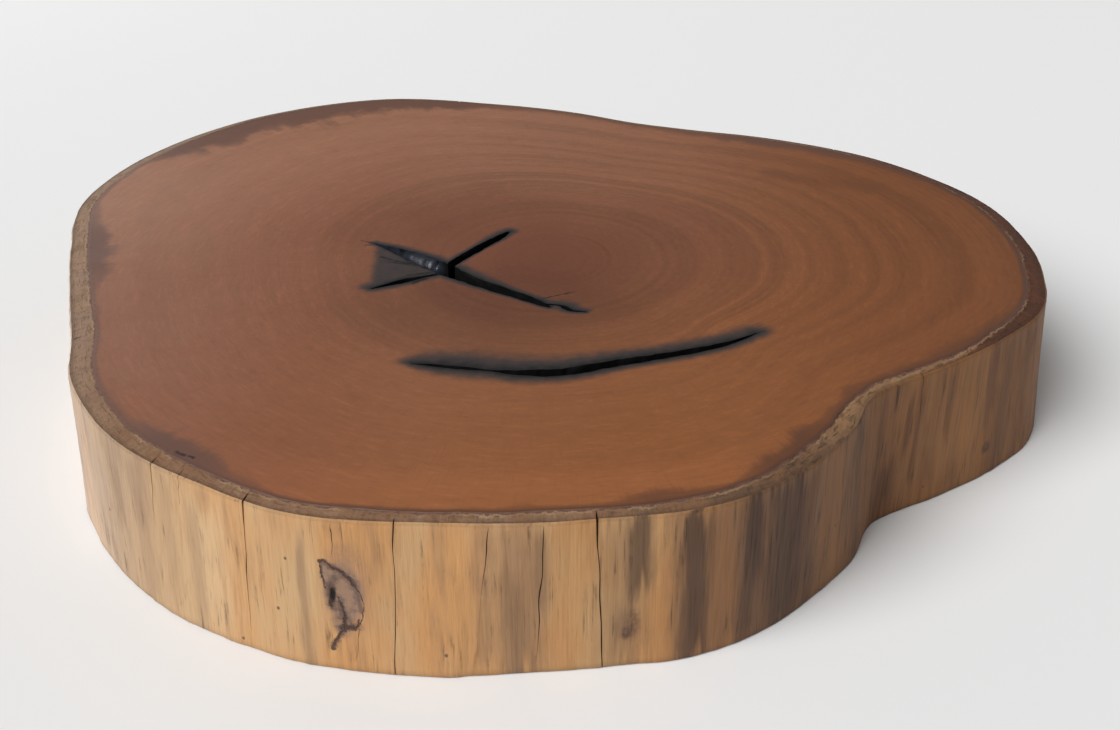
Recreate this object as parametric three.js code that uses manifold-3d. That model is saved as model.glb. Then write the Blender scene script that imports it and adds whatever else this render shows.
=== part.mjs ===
// A thick slice cut straight across a large hardwood trunk, bark off, top planed and its edge eased.
// One solid: the wood itself. Millimetres, +Z up, grain along Z, underside on the plane z = 0,
// origin under the middle of the outline's box.
import * as THREE from "three";
import * as BufferGeometryUtils from "three/addons/utils/BufferGeometryUtils.js";
import Module from "manifold-3d";

// Driving dimensions of the slice
const sliceWidth = 1000;
const sliceDepth = 925;
const sliceThickness = 146;

// The hand-eased edge between the planed top and the debarked side
const easedWidth = 13;
const easedDrop = 4.5;
const easedSteps = 4;

// How finely the outline and the cracks are followed
const outlineSteps = 168;
const crackSteps = 14;

// How far a cutter runs past the faces that it cuts
const cutterOverrun = 20;

// The trunk's outline, anticlockwise from the right. It has two lobes: the main stem on the left and a
// buttress on the right, with a shallow hollow between them behind and a sharp one in front.
const outlinePoints = [
  [498, 0], [478, 119], [387, 242], [278, 309], [187, 340], [120, 365], [49, 403], [-62, 441],
  [-206, 462], [-358, 398], [-464, 268], [-500, 134], [-479, 17], [-447, -95], [-423, -171],
  [-400, -250], [-336, -347], [-255, -408], [-181, -447], [-65, -461], [48, -458], [143, -439],
  [204, -401], [257, -341], [285, -285], [342, -248], [416, -194], [470, -135], [490, -69],
];

// Each crack is a line on the top, and the width that it opens to at each of its points: [x, y, width]
const ringShake = [
  [-106, -233, 1], [-55, -241, 3.5], [-18, -250, 8], [25, -249, 12.5], [74, -234, 11],
  [126, -219, 9], [170, -202, 6], [198, -184, 1],
];
const heartCheckMain = [
  [-164, 10, 1], [-140, -9, 9], [-112, -33, 16], [-86, -54, 15], [-46, -85, 12], [-16, -106, 10], [9, -128, 3],
];
const heartCheckNortheast = [
  [-92, -54, 6], [-85, -38, 8], [-60, -2, 10], [-40, 24, 8], [-30, 38, 1],
];
const heartCheckSouthwest = [
  [-88, -56, 5], [-108, -64, 5.5], [-132, -74, 6], [-158, -88, 1],
];

const wasm = await Module();
wasm.setup();

// Turns a closed geometry into a manifold solid.
function toSolid(geometry) {
  const bare = geometry.clone();
  bare.deleteAttribute("normal");
  bare.deleteAttribute("uv");
  const merged = BufferGeometryUtils.mergeVertices(bare, 1e-4);
  const vertProperties = new Float32Array(merged.attributes.position.array);
  const triVerts = new Uint32Array(merged.index.array);
  return new wasm.Manifold(new wasm.Mesh({ numProp: 3, vertProperties, triVerts }));
}

// Turns a manifold solid back into a geometry with flat faces.
function toGeometry(solid) {
  const mesh = solid.getMesh();
  const indexed = new THREE.BufferGeometry();
  indexed.setAttribute("position", new THREE.BufferAttribute(new Float32Array(mesh.vertProperties), 3));
  indexed.setIndex(new THREE.BufferAttribute(new Uint32Array(mesh.triVerts), 1));
  const geometry = indexed.toNonIndexed();
  geometry.computeVertexNormals();
  return geometry;
}

// The outline as a smooth closed line, evenly stepped, fitted to the slice's width and depth.
function outline() {
  const corners = outlinePoints.map(([x, y]) => new THREE.Vector3(x, y, 0));
  const line = new THREE.CatmullRomCurve3(corners, true, "centripetal");
  const points = line.getSpacedPoints(outlineSteps).slice(0, outlineSteps);
  const box = new THREE.Box3().setFromPoints(points);
  const size = box.getSize(new THREE.Vector3());
  const middle = box.getCenter(new THREE.Vector3());
  return points.map((point) => new THREE.Vector2(
    (point.x - middle.x) * sliceWidth / size.x,
    (point.y - middle.y) * sliceDepth / size.y,
  ));
}

// The trunk section with its top edge eased, run on below the underside.
function trunkLength() {
  const geometry = new THREE.ExtrudeGeometry(new THREE.Shape(outline()), {
    depth: sliceThickness - easedDrop + cutterOverrun,
    bevelEnabled: true,
    bevelThickness: easedDrop,
    bevelSize: easedWidth,
    bevelOffset: -easedWidth,
    bevelSegments: easedSteps,
  });
  geometry.translate(0, 0, -cutterOverrun);
  return toSolid(geometry);
}

// What the saw takes off below the slice.
function sawnOff() {
  const margin = 2 * cutterOverrun;
  const height = 3 * cutterOverrun;
  const geometry = new THREE.BoxGeometry(sliceWidth + margin, sliceDepth + margin, height);
  geometry.translate(0, 0, -height / 2);
  return toSolid(geometry);
}

// One crack, open right through the slice along the grain.
function crack(stations) {
  const centre = new THREE.CatmullRomCurve3(stations.map(([x, y]) => new THREE.Vector3(x, y, 0)));
  const opening = new THREE.CatmullRomCurve3(stations.map(([, , width], index) => new THREE.Vector3(index, width, 0)));
  const left = [];
  const right = [];
  for (let step = 0; step <= crackSteps; step += 1) {
    const along = step / crackSteps;
    const point = centre.getPoint(along);
    const tangent = centre.getTangent(along);
    const half = opening.getPoint(along).y / 2;
    left.push(new THREE.Vector2(point.x - tangent.y * half, point.y + tangent.x * half));
    right.push(new THREE.Vector2(point.x + tangent.y * half, point.y - tangent.x * half));
  }
  const shape = new THREE.Shape([...right, ...left.reverse()]);
  const geometry = new THREE.ExtrudeGeometry(shape, {
    depth: sliceThickness + 2 * cutterOverrun,
    bevelEnabled: false,
  });
  geometry.translate(0, 0, -cutterOverrun);
  return toSolid(geometry);
}

// The whole slice: trunk section, less the saw cut, less the ring shake and the heart check's three arms.
function woodSlice() {
  const cracks = [ringShake, heartCheckMain, heartCheckNortheast, heartCheckSouthwest].map(crack);
  const blank = trunkLength().subtract(sawnOff());
  const cracked = cracks.reduce((solid, cutter) => solid.subtract(cutter), blank);
  const varnishedHardwood = new THREE.MeshStandardMaterial({
    name: "varnished_hardwood",
    color: 0x85543b,
    roughness: 0.45,
    metalness: 0,
  });
  const mesh = new THREE.Mesh(toGeometry(cracked), varnishedHardwood);
  mesh.name = "wood_slice";
  return mesh;
}

const slice = new THREE.Group();
slice.add(woodSlice());

export default slice;
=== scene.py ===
"""A thick slice of a hardwood trunk: bark off, top planed and varnished, edge eased, cracked by drying."""

import math
from collections import namedtuple

import bpy
import numpy as np
from mathutils import Matrix, Vector
from mathutils.bvhtree import BVHTree
from mathutils.geometry import delaunay_2d_cdt


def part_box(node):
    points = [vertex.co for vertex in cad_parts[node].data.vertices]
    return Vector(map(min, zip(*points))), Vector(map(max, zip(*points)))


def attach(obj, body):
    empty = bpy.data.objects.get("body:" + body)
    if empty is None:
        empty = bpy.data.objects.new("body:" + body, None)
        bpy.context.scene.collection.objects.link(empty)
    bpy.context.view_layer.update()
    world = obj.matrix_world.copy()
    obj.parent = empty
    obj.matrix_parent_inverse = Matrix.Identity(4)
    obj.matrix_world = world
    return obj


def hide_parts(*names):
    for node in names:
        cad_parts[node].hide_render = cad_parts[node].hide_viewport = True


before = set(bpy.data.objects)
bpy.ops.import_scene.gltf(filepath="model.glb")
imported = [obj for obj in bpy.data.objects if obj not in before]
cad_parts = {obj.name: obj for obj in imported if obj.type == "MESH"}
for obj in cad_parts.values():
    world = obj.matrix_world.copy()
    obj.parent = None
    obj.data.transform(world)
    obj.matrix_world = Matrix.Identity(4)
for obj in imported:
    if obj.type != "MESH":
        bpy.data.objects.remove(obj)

bl_info = {
    "name": "Trunk Slice",
    "version": (1, 0, 0),
    "blender": (4, 5, 0),
    "location": "3D View > Sidebar > Trunk Slice",
    "description": "Builds a varnished, cracked slice of a hardwood trunk around its packed solid",
    "category": "Add Mesh",
}

SOLID = "wood_slice"
BODY = "root"

LOW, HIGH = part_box(SOLID)
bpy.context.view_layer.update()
TOP = HIGH.z
MM = 0.001

# Where the trunk's first ring grew, off the middle of the outline
PITH = Vector((0.015, -0.026))

# The open cracks, as lines on the top: x, y, opening and reach of the soot at each station, in millimetres
RING_SHAKE = (
    (-106, -233, 1, 15), (-84, -237, 4.5, 25), (-58, -242, 5, 30), (-38, -246, 2.4, 30),
    (-14, -250, 8.5, 28), (25, -249, 12.5, 23), (74, -234, 11, 18), (126, -219, 9, 17),
    (170, -202, 6, 18), (198, -184, 1, 17),
)
HEART_CHECK_MAIN = (
    (-166, 12, 0.8, 7), (-146, -2, 9, 8), (-124, -20, 18, 8), (-102, -38, 22, 9), (-86, -53, 20, 12),
    (-70, -68, 16, 12), (-46, -86, 14, 9), (-16, -107, 11, 6), (4, -122, 8, 8), (13, -130, 2, 8),
)
HEART_CHECK_NORTHEAST = (
    (-92, -54, 8, 7), (-85, -38, 9.5, 6), (-60, -2, 10.5, 5), (-40, 24, 9, 8), (-30, 38, 3.5, 9),
)
HEART_CHECK_SOUTHWEST = (
    (-88, -56, 3.5, 10), (-108, -64, 4, 12), (-132, -75, 8, 15), (-158, -89, 1.6, 14),
)
HEART_CHECK_TAIL = (
    (4, -124, 4, 8), (20, -126, 1.8, 10), (27, -131, 5.5, 12), (33, -137, 3.5, 10), (46, -140, 0.8, 7),
)
CRACKS = (RING_SHAKE, HEART_CHECK_MAIN, HEART_CHECK_NORTHEAST, HEART_CHECK_SOUTHWEST, HEART_CHECK_TAIL)

# Soot reaches further to the north of a crack than to the south, by these shares of its reach
SOOT_NORTH = 1.5
SOOT_SOUTH = 0.75

# The scorched wedge between the heart check's western arms, in millimetres; how sooty it is; its soft edge
SCORCHED_WEDGE = ((-157, 2), (-154, -84), (-120, -72), (-88, -56), (-112, -34))
WEDGE_SOOT = 0.70
WEDGE_EDGE = 14 * MM

# Drying checks in the side. Bearings are degrees anticlockwise from +X, heights and widths are metres.
# lean is how far the foot stands round the trunk from the head; over_rim is how much of the rim it splits.
DryingCheck = namedtuple("DryingCheck", "bearing head foot lean opening over_rim")
DRYING_CHECKS = tuple(DryingCheck(*row) for row in (
    (231.9, 0.146, 0.062, -0.008, 0.0009, 0.7), (235.5, 0.146, 0.112, -0.002, 0.0007, 0.6),
    (243.2, 0.146, 0.004, -0.006, 0.0012, 0.9), (252.0, 0.136, 0.108, -0.001, 0.0008, 0.0),
    (257.6, 0.146, -0.01, -0.006, 0.0011, 0.3), (266.1, 0.141, 0.070, -0.008, 0.0010, 0.3),
    (271.2, 0.142, 0.002, -0.009, 0.0012, 0.3), (276.0, 0.146, -0.01, 0.005, 0.0014, 1.0),
    (254.0, 0.044, 0.010, -0.003, 0.0006, 0.0), (263.4, 0.046, -0.01, -0.002, 0.0007, 0.0),
    (12.0, 0.146, 0.030, 0.006, 0.0014, 0.6), (38.0, 0.146, -0.01, -0.007, 0.0020, 0.9),
    (57.0, 0.120, 0.010, 0.004, 0.0010, 0.0), (84.0, 0.146, 0.040, -0.005, 0.0013, 0.5),
    (103.0, 0.146, -0.01, 0.007, 0.0022, 1.0), (109.0, 0.090, -0.01, 0.003, 0.0009, 0.0),
    (131.0, 0.146, 0.055, -0.004, 0.0012, 0.4), (152.0, 0.146, -0.01, 0.006, 0.0018, 0.8),
    (176.0, 0.130, 0.020, -0.004, 0.0010, 0.0), (203.0, 0.146, 0.015, 0.005, 0.0015, 0.6),
    (322.5, 0.146, 0.080, 0.003, 0.0009, 0.5), (347.0, 0.146, 0.020, -0.005, 0.0013, 0.6),
))

# Scars where twigs and branches were: a bearing in degrees, then metres; bulge is how far the wood swells
Knot = namedtuple("Knot", "bearing height half_width half_height bulge")
BRANCH_KNOT = Knot(252.8, 0.066, 0.017, 0.040, 0.0016)
TWIG_KNOT = Knot(279.0, 0.036, 0.011, 0.021, 0.0007)
BUD_KNOT = Knot(334.6, 0.034, 0.008, 0.010, 0.0006)
BACK_KNOT = Knot(118.0, 0.085, 0.016, 0.028, 0.0016)
KNOTS = (BRANCH_KNOT, TWIG_KNOT, BUD_KNOT, BACK_KNOT)

# How these change round the trunk, as (bearing, value): the rim's width, the width of the dark stain inside
# it, how weathered the side is from 0 to 1, and how far the side's foot stands out beyond its head
RIM_WIDTHS = (
    (0, 0.021), (40, 0.018), (90, 0.016), (140, 0.018), (178, 0.020), (203, 0.024), (222, 0.019),
    (240, 0.014), (262, 0.011), (285, 0.012), (300, 0.019), (309, 0.020), (314, 0.012), (319, 0.0088),
    (329, 0.0088), (335, 0.015), (345, 0.020),
)
STAIN_WIDTHS = (
    (0, 0.005), (20, 0.008), (38, 0.022), (50, 0.024), (62, 0.012), (88, 0.010), (98, 0.018),
    (104, 0.030), (110, 0.042), (118, 0.052), (123, 0.054), (126, 0.074), (131, 0.066), (134.5, 0.048),
    (136, 0.064), (141, 0.060), (146, 0.046), (150, 0.020), (153, 0.006), (165, 0.006), (177, 0.030),
    (184, 0.026), (192, 0.007), (212, 0.006), (224, 0.010), (230, 0.030), (236, 0.026), (241, 0.012),
    (247, 0.006), (262, 0.005), (270, 0.009), (277, 0.006), (281, 0.018), (286, 0.016), (290, 0.005),
    (295, 0.020), (301, 0.022), (306, 0.012), (313, 0.014), (320, 0.009), (332, 0.014), (340, 0.010),
    (350, 0.005),
)
WEATHERING = (
    (0, 0.60), (30, 0.45), (60, 0.32), (95, 0.40), (130, 0.24), (165, 0.26), (200, 0.14), (236, 0.10),
    (243, 0.06), (258, 0.05), (262, 0.12), (268, 0.34), (270.5, 0.30), (272, 0.12), (276, 0.18),
    (279, 0.36), (284, 0.45), (289, 0.48), (293, 0.62), (300, 0.72), (308, 0.74), (316, 0.66),
    (326, 0.58), (336, 0.55), (345, 0.62),
)
FLARE = (
    (0, 0.008), (15, 0.002), (30, 0), (150, 0), (178, 0.003), (195, 0.009), (212, 0.009), (217, 0.006),
    (230, 0.006), (235, 0.009), (241, 0.007), (249, 0.0025), (257, 0.005), (263, 0.007), (268, 0.003),
    (275, 0.001), (284, 0.001), (290, -0.001), (300, -0.002), (305, 0.001), (312, 0.007), (314, 0.006),
    (317, 0), (321, -0.002), (326, 0.002), (334, 0.005), (340, 0.007), (346, 0.010), (352, 0.010),
)


# Half the width of the stretch over which the flare is evened out, in degrees
FLARE_BLUR = 1.4

# The stretch of rim beside the hollow that is torn roughest: its middle and its half width, in degrees
TORN_RIM = 303
TORN_RIM_SPREAD = 11


def by_bearing(stations, bearings):
    """Values between (bearing, value) stations, all the way round."""
    places, values = zip(*stations)
    return np.interp(bearings, places, values, period=360)


def bearings_of(points):
    """The bearings of points on the top, in degrees anticlockwise from the +X axis."""
    return np.degrees(np.arctan2(points[..., 1], points[..., 0])) % 360


# ---------------------------------------------------------------------------------------------------------
# What a user may change


def number(name, description, default, unit="NONE"):
    """A number that a user may change."""
    return bpy.props.FloatProperty(name=name, description=description, default=default, unit=unit)


def length(name, description, default):
    """A length that a user may change, in metres."""
    return number(name, description, default, "LENGTH")


def paint(name, description, default):
    """A colour that a user may change, in linear red, green and blue."""
    return bpy.props.FloatVectorProperty(
        name=name, description=description, default=default, size=3, min=0, max=1, subtype="COLOR")


class SliceSizes(bpy.types.PropertyGroup):
    """Sizes of the slice's surface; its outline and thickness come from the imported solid."""

    column_step: length("Column step", "Distance between mesh columns round the side", 2.9 * MM)
    row_step: length("Row step", "Distance between mesh rows down the side", 3.0 * MM)
    face_step: length("Face step", "Distance between mesh points on the top", 12 * MM)
    rim_drop: length("Rim drop", "How far the eased rim falls before its corner", 3.4 * MM)
    rim_corner: length("Rim corner", "Radius of the rim's outer corner", 3.6 * MM)
    flute_depth: length("Flute depth", "Depth of the trunk's broad flutes", 1.2 * MM)
    check_depth: number("Check depth", "Depth of a check for each unit of its opening", 4.0)
    crack_narrowing: bpy.props.FloatProperty(
        name="Crack narrowing", description="Share of a crack's opening that is lost at the underside",
        default=0.55, min=0, max=0.7, subtype="FACTOR")


class SliceColours(bpy.types.PropertyGroup):
    """Colours of the wood and its marks."""

    heart_outer: paint("Outer heartwood", "Heartwood towards the rim", (0.285, 0.122, 0.066))
    heart_warm: paint("Warm heartwood", "Heartwood of the front and the right lobe", (0.262, 0.092, 0.030))
    # Deep heartwood is partly painted shade of the top's right lobe
    heart_deep_and_shade: paint("Deep heartwood", "Heartwood of the right lobe", (0.20, 0.066, 0.019))
    heart_inner: paint("Inner heartwood", "Heartwood round the pith", (0.168, 0.056, 0.028))
    # The edge stain colour is also painted as a thin line of shade along the small step between the top and
    # the rim
    stain: paint("Edge stain", "Damp stain inside the rim", (0.115, 0.054, 0.038))
    stain_front: paint("Front edge stain", "Browner stain inside the front rim", (0.082, 0.034, 0.019))
    # The soot colour is also painted into the branch knot's pit as shade
    soot: paint("Soot", "Burnt wood in the cracks", (0.004, 0.004, 0.004))
    soot_film: paint("Soot film", "Soot under the varnish beside the cracks", (0.027, 0.027, 0.029))
    char_pale: paint("Torn slope", "Sooty varnish on the heart check's slope", (0.020, 0.022, 0.033))
    shade: paint("Shade", "Tint of the darker, browner right side", (0.84, 0.675, 0.44))
    shade_front: paint("Front shade", "Tint of the side right of the front", (0.94, 0.87, 0.76))
    sap_rust: paint("Rusty sapwood", "Red-brown stain of the right side", (0.125, 0.052, 0.022))
    # The cream streak is partly a painted highlight on the front left of the side
    sap_cream_and_highlight: paint("Cream sapwood", "Palest streak of the side", (0.64, 0.445, 0.255))
    rim: paint("Rim", "Eased sapwood rim", (0.190, 0.090, 0.040))
    rim_left: paint("Left rim", "Paler, duller rim on the left", (0.27, 0.165, 0.105))
    # Also painted as a broken highlight line on the rim just past the step down from the top
    rim_pale_and_highlight: paint("Pale rim", "Freshly cut sapwood on the rim", (0.40, 0.25, 0.135))
    rim_tan: paint("Tan rim", "Scraped sapwood of the rim at the notch", (0.33, 0.178, 0.082))
    rim_worn: paint("Worn rim", "Dirty sapwood on the rim", (0.10, 0.050, 0.025))
    sap_pale: paint("Pale sapwood", "Cleanest sapwood of the side", (0.54, 0.335, 0.165))
    sap_tan: paint("Tan sapwood", "Sapwood of the side", (0.55, 0.278, 0.104))
    sap_blush: paint("Dull sapwood", "Dull, slightly grey sapwood", (0.36, 0.275, 0.202))
    sap_umber: paint("Umber sapwood", "Sapwood of the shaded right side", (0.29, 0.142, 0.065))
    sap_grey: paint("Grey sapwood", "Weathered sapwood", (0.235, 0.135, 0.078))
    sap_brown: paint("Brown sapwood", "Darkest stain of the side", (0.10, 0.053, 0.031))
    knot_face: paint("Knot face", "Dull wood of the branch knot", (0.245, 0.155, 0.108))
    knot_glow: paint("Knot glow", "Flushed wood round the branch knot", (0.40, 0.215, 0.125))
    knot_line: paint("Knot line", "Dark bark left in the knots", (0.055, 0.022, 0.018))
    sawn: paint("Sawn face", "Bare end grain of the underside", (0.36, 0.21, 0.12))


class StageSettings(bpy.types.PropertyGroup):
    """Floor, light and camera."""

    floor: paint("Floor", "Pale floor", (0.82, 0.82, 0.82))
    sky_strength: number("Sky strength", "Brightness of the even light all round", 0.15)
    key_strength: number("Key strength", "Strength of the soft light from the front left", 3.3)
    fill_strength: number("Fill strength", "Strength of the soft light from behind on the right", 0.28)
    window_power: number("Window power", "Power of the window behind on the left", 8.5, "POWER")
    camera_place: bpy.props.FloatVectorProperty(
        name="Camera place", description="Where the camera stands", default=(0.0216, -1.283, 0.752),
        unit="LENGTH")
    camera_tilt: number("Camera tilt", "How far the camera looks down", math.radians(30.1), "ROTATION")
    camera_roll: number("Camera roll", "How far the camera leans", math.radians(-0.5), "ROTATION")
    lens: number("Lens", "Focal length in millimetres", 45)


# ---------------------------------------------------------------------------------------------------------
# Numbers


def lattice_noise(u, v, cells_u, cells_v, seed):
    """Smooth noise from -1 to 1 over u and v from 0 to 1, which meets itself round u."""
    draws = np.random.default_rng(seed).uniform(-1, 1, (cells_u, cells_v + 2))
    across = np.mod(u, 1) * cells_u
    down = np.clip(v, 0, 1) * cells_v
    column = np.floor(across).astype(int)
    row = np.floor(down).astype(int)
    share_u = across - column
    share_v = down - row
    share_u = share_u * share_u * (3 - 2 * share_u)
    share_v = share_v * share_v * (3 - 2 * share_v)
    left, right = column % cells_u, (column + 1) % cells_u
    upper = draws[left, row] * (1 - share_u) + draws[right, row] * share_u
    lower = draws[left, row + 1] * (1 - share_u) + draws[right, row + 1] * share_u
    return upper * (1 - share_v) + lower * share_v


def soot_at(points):
    """How sooty the wood is at points on the top: 1 at the cracks, fading to 0."""
    soot = np.zeros(len(points))
    for stations in CRACKS:
        line = crack_line(stations, 3 * MM)
        away = points[:, None] - line[None, :, :2]
        gaps = np.linalg.norm(away, axis=2) - line[None, :, 2] / 2
        reach = line[None, :, 3] * np.where(away[:, :, 1] > 0, SOOT_NORTH, SOOT_SOUTH)
        soot = np.maximum(soot, np.clip(1 - gaps / reach, 0, 1).max(axis=1))
    wedge = np.array(SCORCHED_WEDGE) * MM
    gap = gap_to_loop(points, wedge)
    gap[inside_loop(points, wedge)] = 0
    return np.maximum(soot, WEDGE_SOOT * (1 - smooth_step(0, WEDGE_EDGE, gap)))


def smooth_step(low, high, x):
    """0 below low, 1 above high, and an even slope between."""
    share = np.clip((x - low) / (high - low), 0, 1)
    return share * share * (3 - 2 * share)


def catmull_rom(points, step):
    """A smooth line through points of any dimension, with a point about every step along its first two."""
    points = np.asarray(points, float)
    ends = np.vstack([2 * points[0] - points[1], points, 2 * points[-1] - points[-2]])
    parts = []
    for p0, p1, p2, p3 in zip(ends, ends[1:], ends[2:], ends[3:]):
        count = max(2, math.ceil(np.linalg.norm((p2 - p1)[:2]) / step))
        t = np.linspace(0, 1, count, endpoint=False)[:, None]
        slope = p2 - p0
        bend = 2 * p0 - 5 * p1 + 4 * p2 - p3
        twist = 3 * p1 - p0 - 3 * p2 + p3
        parts.append(p1 + 0.5 * (slope * t + bend * t**2 + twist * t**3))
    return np.vstack([*parts, points[-1:]])


def crack_line(stations, step):
    """A crack's stations as a smooth line in metres."""
    return catmull_rom(np.array(stations, float) * MM, step)


def gap_to_edges(points, starts, ends):
    """Distance of each point from the nearest of some straight edges."""
    nearest = np.full(len(points), np.inf)
    for start, end in zip(starts, ends):
        along = end - start
        length = max(along @ along, 1e-18)
        share = np.clip((points - start) @ along / length, 0, 1)
        nearest = np.minimum(nearest, np.linalg.norm(points - start - share[:, None] * along, axis=1))
    return nearest


def gap_to_loop(points, loop):
    """Distance of each point from a closed loop."""
    return gap_to_edges(points, loop, np.roll(loop, -1, axis=0))


def inside_any(points, loops):
    """Whether each point lies inside any of some closed loops."""
    found = np.zeros(len(points), bool)
    for loop in loops:
        found |= inside_loop(points, loop)
    return found


def inside_loop(points, loop):
    """Whether each point lies inside a closed loop."""
    inside = np.zeros(len(points), bool)
    x, y = points[:, 0], points[:, 1]
    for (x0, y0), (x1, y1) in zip(loop, np.roll(loop, -1, axis=0)):
        if y0 == y1:
            continue
        crosses = (y0 > y) != (y1 > y)
        inside ^= crosses & (x < (x1 - x0) * (y - y0) / (y1 - y0) + x0)
    return inside


# ---------------------------------------------------------------------------------------------------------
# The trunk's outline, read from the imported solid


class Outline:
    """The solid's outline, measured by girth: metres anticlockwise round it from the +X axis."""

    SAMPLES = 2400
    SMOOTHING = 4 * MM

    def __init__(self):
        middle = (LOW + HIGH) / 2
        far = (HIGH - LOW).length
        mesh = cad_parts[SOLID].data
        tree = BVHTree.FromPolygons([v.co for v in mesh.vertices], [p.vertices for p in mesh.polygons])
        angles = np.linspace(0, 2 * math.pi, self.SAMPLES, endpoint=False)
        hits = []
        for angle in angles:
            way = Vector((math.cos(angle), math.sin(angle), 0))
            hits.append(tree.ray_cast(middle + way * far, -way)[0][:2])
        rough = self.even(np.array(hits))
        kernel_reach = int(3 * self.SMOOTHING / self.step) + 1
        offsets = np.arange(-kernel_reach, kernel_reach + 1)
        weights = np.exp(-((offsets * self.step / self.SMOOTHING) ** 2) / 2)
        weights /= weights.sum()
        smooth = sum(w * np.roll(rough, -offset, axis=0) for w, offset in zip(weights, offsets))
        self.points = self.even(smooth)
        tangents = np.roll(self.points, -1, axis=0) - np.roll(self.points, 1, axis=0)
        tangents /= np.linalg.norm(tangents, axis=1)[:, None]
        self.normals = np.c_[tangents[:, 1], -tangents[:, 0]]
        self.bearings = bearings_of(self.points)

    def even(self, loop):
        """The loop again with its points evenly spaced."""
        closed = np.vstack([loop, loop[:1]])
        runs = np.r_[0, np.cumsum(np.linalg.norm(np.diff(closed, axis=0), axis=1))]
        self.length = runs[-1]
        self.step = self.length / self.SAMPLES
        places = np.arange(self.SAMPLES) * self.step
        return np.c_[np.interp(places, runs, closed[:, 0]), np.interp(places, runs, closed[:, 1])]

    def read(self, table, girth):
        """A table's values at some girths."""
        places = np.arange(self.SAMPLES) * self.step
        return np.stack(
            [np.interp(girth, places, table[:, k], period=self.length) for k in range(2)], axis=-1)

    def at(self, girth):
        """Points of the outline, and its outward normals there."""
        return self.read(self.points, girth), self.read(self.normals, girth)

    def girth_of(self, bearing):
        """The girth at which the outline lies at a bearing, in degrees."""
        order = np.argsort(self.bearings)
        places = order * self.step
        return np.interp(bearing % 360, self.bearings[order], places)

    def bearing_of(self, girth):
        """The bearing, in degrees, at some girths."""
        return bearings_of(self.read(self.points, girth))


# ---------------------------------------------------------------------------------------------------------
# The mesh of the side and the rim: columns round the trunk, rows from the rim's inner line to the underside


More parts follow.
